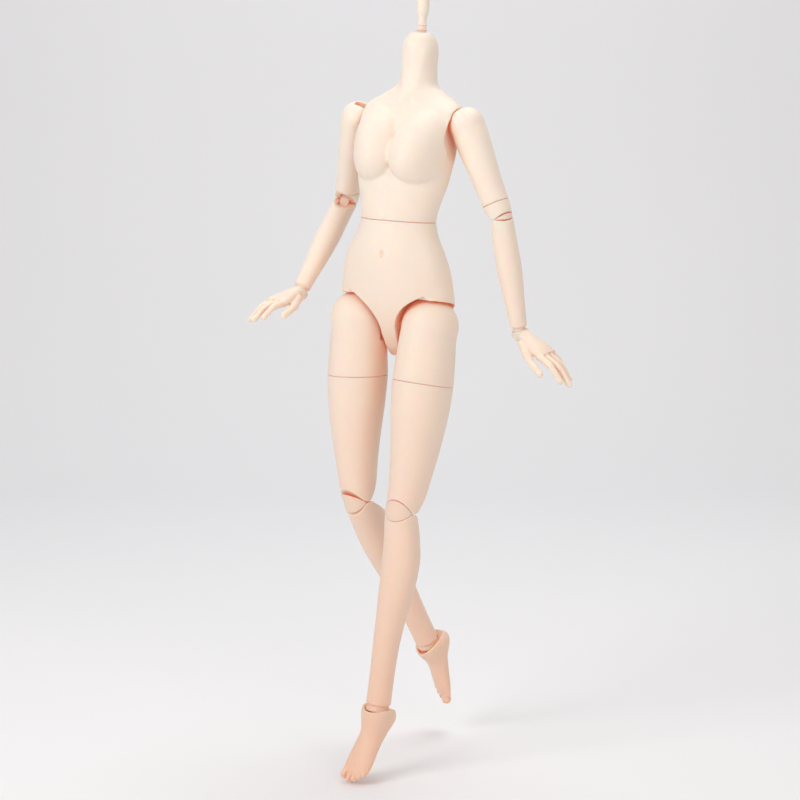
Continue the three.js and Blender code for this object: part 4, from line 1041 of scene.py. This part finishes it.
class Paint:
    """Node material with a principled shader."""

    def __init__(self, name, **fixed):
        self.material = bpy.data.materials.new(name)
        self.material.use_nodes = True
        self.tree = self.material.node_tree
        self.shader = self.tree.nodes["Principled BSDF"]
        for socket, value in fixed.items():
            self.shader.inputs[socket.replace("_", " ")].default_value = value

    def node(self, kind, settings=None, inputs=None, output=0):
        """Adds a node with its settings and the values or links of its sockets."""
        made = self.tree.nodes.new(kind)
        for setting, value in (settings or {}).items():
            setattr(made, setting, value)
        for socket, value in (inputs or {}).items():
            if isinstance(value, Value):
                self.tree.links.new(value.socket, made.inputs[socket])
            else:
                made.inputs[socket].default_value = value
        return Value(self, made.outputs[output])

    def mix(self, share, first, second):
        """Colour between two colours."""
        made = self.tree.nodes.new("ShaderNodeMix")
        made.data_type = "RGBA"
        for socket, value in ((0, share), (6, first), (7, second)):
            if isinstance(value, Value):
                self.tree.links.new(value.socket, made.inputs[socket])
            else:
                made.inputs[socket].default_value = value if socket == 0 else (*value, 1)
        return Value(self, made.outputs[2])

    def feed(self, socket, value):
        self.tree.links.new(value.socket, self.shader.inputs[socket])

    def place(self):
        return self.node("ShaderNodeTexCoord", output=3)

    def noise(self, place, scale, detail, roughness):
        return self.node("ShaderNodeTexNoise", None, {
            "Vector": place, "Scale": scale, "Detail": detail, "Roughness": roughness})

    def open_share(self, reach):
        return self.node("ShaderNodeAmbientOcclusion", {"samples": OPEN_SAMPLES}, {"Distance": reach},
                         output=1)

    def bump(self, height, strength, depth):
        self.feed("Normal", self.node("ShaderNodeBump", None, {
            "Strength": strength, "Distance": depth, "Height": height}))


def covered(open_share, gain, off):
    """Share of a surface that close surfaces cover, sharpened."""
    return ((1 - open_share) * gain - off).clamped()


def moulded_plastic(name, base, tan, crease, blush, roughness):
    """Matte cast plastic: cloudy tone, fine orange peel, painted shade down the body and in hollows,
    and painted shade and a painted glow where pieces meet.
    """
    paint = Paint(name, IOR=PLASTIC["refraction"], Subsurface_Weight=PLASTIC["scatter"],
                  Subsurface_Scale=PLASTIC["scatter_depth"],
                  Subsurface_Radius=PLASTIC["scatter_colour"],
                  Coat_Roughness=PLASTIC["coat_roughness"], Emission_Strength=PLASTIC["glow"])
    # Painted glow in creases and sockets: the crease colour made redder, at the emission strength set
    # above
    glow = tuple(part * share for part, share in zip(crease, GLOW_TONE))
    place = paint.place()
    depth = paint.node("ShaderNodeSeparateXYZ", None, {"Vector": place}, output=2)
    # Painted shade: the skin turns darker and warmer below the neck
    low = (depth * -PAINTED_HEIGHT_SHADE["gain"] - PAINTED_HEIGHT_SHADE["off"]).clamped() ** PAINTED_HEIGHT_SHADE["curve"]
    cloud, mottle, peel = (paint.noise(place, *pattern) for pattern in (CLOUD, MOTTLE, PEEL))
    pores = paint.node("ShaderNodeTexVoronoi", {"feature": "F1"},
                       {"Vector": place, "Scale": PORES})
    near, wide = paint.open_share(CREASE_REACH), paint.open_share(SHADE_REACH)
    tone = cloud.tint(*CLOUD_TINT) + mottle.tint(*MOTTLE_TINT)
    # Painted shade in the creases between pieces, which also drives a painted glow
    closed = covered(near, *CREASE) ** CREASE_CURVE
    # Painted shade in wider hollows such as under the bust, the armpits and between the thighs
    shaded = covered(wide, *SHADE) * SHADE_TINT
    # Painted glow deep inside the sockets
    cave = covered(wide, *CAVE) * CAVE_GLOW
    # Skin colour: the painted shade down the body, the random tone, then the painted shade in hollows
    skin = paint.mix(shaded, paint.mix(tone, paint.mix(low, base, tan), blush), tan)
    # Base colour: the painted crease shade over the skin
    paint.feed("Base Color", paint.mix(closed * CREASE_SHADE, skin, crease))
    # Emission: a painted glow in creases and deep sockets
    lit = (closed ** 2 * CREASE_GLOW + cave).clamped()
    paint.feed("Emission Color", paint.mix(lit, (0, 0, 0), glow))
    paint.feed("Roughness", (mottle - MIDDLE) * MOTTLE_ROUGHNESS
               + (peel - MIDDLE) * PEEL_ROUGHNESS + roughness)
    height = peel * PEEL_HEIGHT + pores * PORE_HEIGHT + mottle * MOTTLE_HEIGHT
    paint.bump(height, PLASTIC["bump"], PLASTIC["bump_depth"])
    return paint.material


def turned_steel(name, base):
    """Satin pin steel with fine turning rings and slight dulling."""
    paint = Paint(name, Metallic=1.0)
    place = paint.place()
    rings = paint.node("ShaderNodeTexWave",
                       {"wave_type": "RINGS", "rings_direction": "SPHERICAL"},
                       {"Vector": place, "Scale": STEEL["rings"],
                        "Distortion": STEEL["distortion"], "Detail": STEEL["detail"]})
    haze = paint.noise(place, *HAZE)
    dull = tuple(part * STEEL["dull"] for part in base)
    paint.feed("Base Color", paint.mix((haze * STEEL["dull_share"]).clamped(), base, dull))
    paint.feed("Roughness", haze * STEEL["haze_roughness"] + rings * STEEL["ring_roughness"]
               + STEEL["roughness"])
    paint.bump(rings, STEEL["bump"], STEEL["bump_depth"])
    return paint.material


def material_named(name):
    """One of the doll's three materials, made when it is first asked for."""
    found = bpy.data.materials.get(name)
    if found:
        return found
    settings = bpy.context.scene.doll
    # tan is the colour of the painted shade; crease is that of the painted shade and painted glow in
    # creases
    base, tan, crease, blush = (tuple(settings.skin_colour), tuple(settings.painted_shade_colour),
                                tuple(settings.painted_crease_colour), tuple(settings.blush_colour))
    if name == "cast_plastic":
        return moulded_plastic(name, base, tan, crease, blush, SKIN_ROUGHNESS)
    if name == "link_plastic":
        warm = tuple(part * LINK_SHADE for part in base)
        return moulded_plastic(name, warm, tan, crease, blush, LINK_ROUGHNESS)
    return turned_steel(name, tuple(settings.steel_colour))


# Operators
class DOLL_OT_trunk(bpy.types.Operator):
    """Casts the chest, the pelvis and the head peg"""
    bl_idname = "doll.trunk"
    bl_label = "Trunk"

    def execute(self, context):
        grain = context.scene.doll.trunk_grain
        skin = material_named("cast_plastic")
        place = trunk_place()
        cast(chest_shape(), "chest_cast", "chest", "chest_shell", place, grain, skin)
        cast(pelvis_shape(), "pelvis_cast", "pelvis", "pelvis_shell", place, grain, skin)
        cast(peg_shape(), "head_peg_cast", "head", "head_peg", place, PEG_GRAIN, skin)
        return {"FINISHED"}


class DOLL_OT_arms(bpy.types.Operator):
    """Casts the upper arms, elbows and forearms"""
    bl_idname = "doll.arms"
    bl_label = "Arms"

    def execute(self, context):
        grain = context.scene.doll.limb_grain
        skin = material_named("cast_plastic")
        link = material_named("link_plastic")

        def shoulder(word):
            return axes_at(joint_at(f"{word}_shoulder_swing"), joint_way(f"{word}_arm_turn"),
                           y_way=joint_way(f"{word}_shoulder_spread"))

        def elbow_top(word):
            return axes_at(joint_at(f"{word}_shoulder_swing"), joint_way(f"{word}_arm_turn"),
                           x_way=joint_way(f"{word}_elbow_upper"))

        def elbow(word):
            return joint_pair_place(f"{word}_elbow_upper", f"{word}_elbow_lower", ELBOW)

        def forearm(word):
            return lower_place(f"{word}_elbow_lower", f"{word}_wrist_turn", ELBOW)

        both_sides(upper_arm_shape(), "upper_arm", "bicep", "upper_arm", shoulder, grain, skin)
        both_sides(elbow_cup_shape(), "elbow_cup", "elbow_top", "elbow_cup", elbow_top, grain, skin)
        both_sides(elbow_link_shape(), "elbow_link", "elbow_middle", "elbow_link", elbow,
                   grain * LINK_GRAIN_SHARE, link)
        both_sides(forearm_shape(), "forearm", "lower_arm", "forearm", forearm, grain, skin)
        return {"FINISHED"}


class DOLL_OT_legs(bpy.types.Operator):
    """Casts the thighs, kneecaps and shins"""
    bl_idname = "doll.legs"
    bl_label = "Legs"

    def execute(self, context):
        grain = context.scene.doll.limb_grain
        skin = material_named("cast_plastic")
        link = material_named("link_plastic")

        def hip(word):
            return axes_at(joint_at(f"{word}_hip_swing"), joint_way(f"{word}_thigh_turn"),
                           y_way=joint_way(f"{word}_hip_spread"))

        def thigh(word):
            return axes_at(joint_at(f"{word}_hip_swing"), joint_way(f"{word}_thigh_turn"),
                           x_way=joint_way(f"{word}_knee_upper"))

        def knee(word):
            return joint_pair_place(f"{word}_knee_upper", f"{word}_knee_lower", KNEE)

        def shin(word):
            return lower_place(f"{word}_knee_lower", f"{word}_ankle_turn", KNEE)

        both_sides(thigh_upper_shape(), "thigh_upper", "thigh", "thigh_upper", hip, grain, skin)
        both_sides(thigh_lower_shape(), "thigh_lower", "thigh_end", "thigh_lower", thigh, grain,
                   skin)
        both_sides(knee_link_shape(), "kneecap", "knee", "knee_link", knee,
                   grain * LINK_GRAIN_SHARE, link)
        both_sides(shin_shape(), "shin", "calf", "shin", shin, grain, skin)
        return {"FINISHED"}


class DOLL_OT_hands_and_feet(bpy.types.Operator):
    """Casts the hands and the feet"""
    bl_idname = "doll.hands_and_feet"
    bl_label = "Hands and feet"

    def execute(self, context):
        grain = context.scene.doll.fine_grain
        skin = material_named("cast_plastic")

        def hand(word):
            return end_place(f"{word}_wrist_turn", f"{word}_wrist_bend", WRIST_BENDS[word])

        def foot(word):
            return end_place(f"{word}_ankle_turn", f"{word}_ankle_bend", ANKLE_BENDS[word])

        both_sides(hand_shape(), "hand", "palm", "hand", hand, grain, skin)
        both_sides(foot_shape(), "foot", "instep", "foot", foot, grain, skin)
        return {"FINISHED"}


class DOLL_OT_inner_joints(bpy.types.Operator):
    """Finishes the pins and links that stay as solids inside the joints"""
    bl_idname = "doll.inner_joints"
    bl_label = "Inner joints"

    def execute(self, context):
        for name, piece in frame["nodes"].items():
            finish = "pin_steel" if name.endswith("_pin") else "link_plastic"
            piece.data.materials.clear()
            piece.data.materials.append(material_named(finish))
        return {"FINISHED"}


class DOLL_OT_stage(bpy.types.Operator):
    """Sets the pale sweep, the soft lamps and the camera"""
    bl_idname = "doll.stage"
    bl_label = "Stage"

    def execute(self, context):
        scene = context.scene
        scene.view_settings.view_transform = "Standard"
        back, bend = SWEEP["back"], SWEEP["bend"]
        outline = [(SWEEP["front"], 0.0), (back, 0.0)]
        for step in range(1, SWEEP["steps"] + 1):
            turn = math.pi / 2 * step / SWEEP["steps"]
            outline.append((back + bend * math.sin(turn), bend - bend * math.cos(turn)))
        outline.append((back + bend, SWEEP["height"]))
        points = [(side * SWEEP["half_width"], depth, height)
                  for depth, height in outline for side in (-1, 1)]
        faces = [(2 * row, 2 * row + 1, 2 * row + 3, 2 * row + 2)
                 for row in range(len(outline) - 1)]
        sweep = solid(points, faces)
        sweep.name = "sweep"
        sweep.data.shade_smooth()
        sweep.data.transform(Matrix.Rotation(math.radians(VIEW_TURN), 4, "Z"))
        shifted(sweep, z=CAD_BOX[0].z - SWEEP["below"])
        paper = Paint("studio_paper", Roughness=PAPER_ROUGHNESS)
        paper.feed("Base Color", paper.mix(paper.noise(paper.place(), *FLECK), *PAPER_TONES))
        sweep.data.materials.append(paper.material)
        world = bpy.data.worlds.new("studio")
        scene.world = world
        world.use_nodes = True
        background = world.node_tree.nodes["Background"]
        background.inputs["Color"].default_value = ROOM_COLOUR
        background.inputs["Strength"].default_value = ROOM_LEVEL
        for name, spot, aim, size, power, colour in LAMPS:
            lamp = bpy.data.lights.new(name, "AREA")
            lamp.color = colour
            lamp.size = size
            lamp.energy = power
            holder = bpy.data.objects.new(name, lamp)
            scene.collection.objects.link(holder)
            holder.location = spot
            holder.visible_camera = False
            way = Vector(aim) - Vector(spot)
            holder.rotation_euler = way.to_track_quat("-Z", "Y").to_euler()
        camera = bpy.data.cameras.new("camera")
        camera.sensor_width = CAMERA_SENSOR
        camera.lens = CAMERA_LENS
        viewer = bpy.data.objects.new("camera", camera)
        scene.collection.objects.link(viewer)
        viewer.location = CAMERA_SPOT
        viewer.rotation_euler = (math.radians(90 - CAMERA_DIP), 0, math.radians(VIEW_TURN))
        scene.camera = viewer
        return {"FINISHED"}


# Panel and running order
class DOLL_PT_panel(bpy.types.Panel):
    bl_idname = "DOLL_PT_panel"
    bl_label = "Ball jointed doll"
    bl_space_type = "VIEW_3D"
    bl_region_type = "UI"
    bl_category = "Doll"

    def draw(self, context):
        for setting in DollSettings.__annotations__:
            self.layout.prop(context.scene.doll, setting)
        for step in STEPS:
            self.layout.operator(step.bl_idname)


STEPS = (DOLL_OT_trunk, DOLL_OT_arms, DOLL_OT_legs, DOLL_OT_hands_and_feet,
         DOLL_OT_inner_joints, DOLL_OT_stage)
CLASSES = (DollSettings, *STEPS, DOLL_PT_panel)


def register():
    for one in CLASSES:
        bpy.utils.register_class(one)
    bpy.types.Scene.doll = bpy.props.PointerProperty(type=DollSettings)


def unregister():
    del bpy.types.Scene.doll
    for one in reversed(CLASSES):
        bpy.utils.unregister_class(one)


def main():
    register()
    for step in STEPS:
        group, call = step.bl_idname.split(".")
        getattr(getattr(bpy.ops, group), call)()


if __name__ == "__main__":
    main()
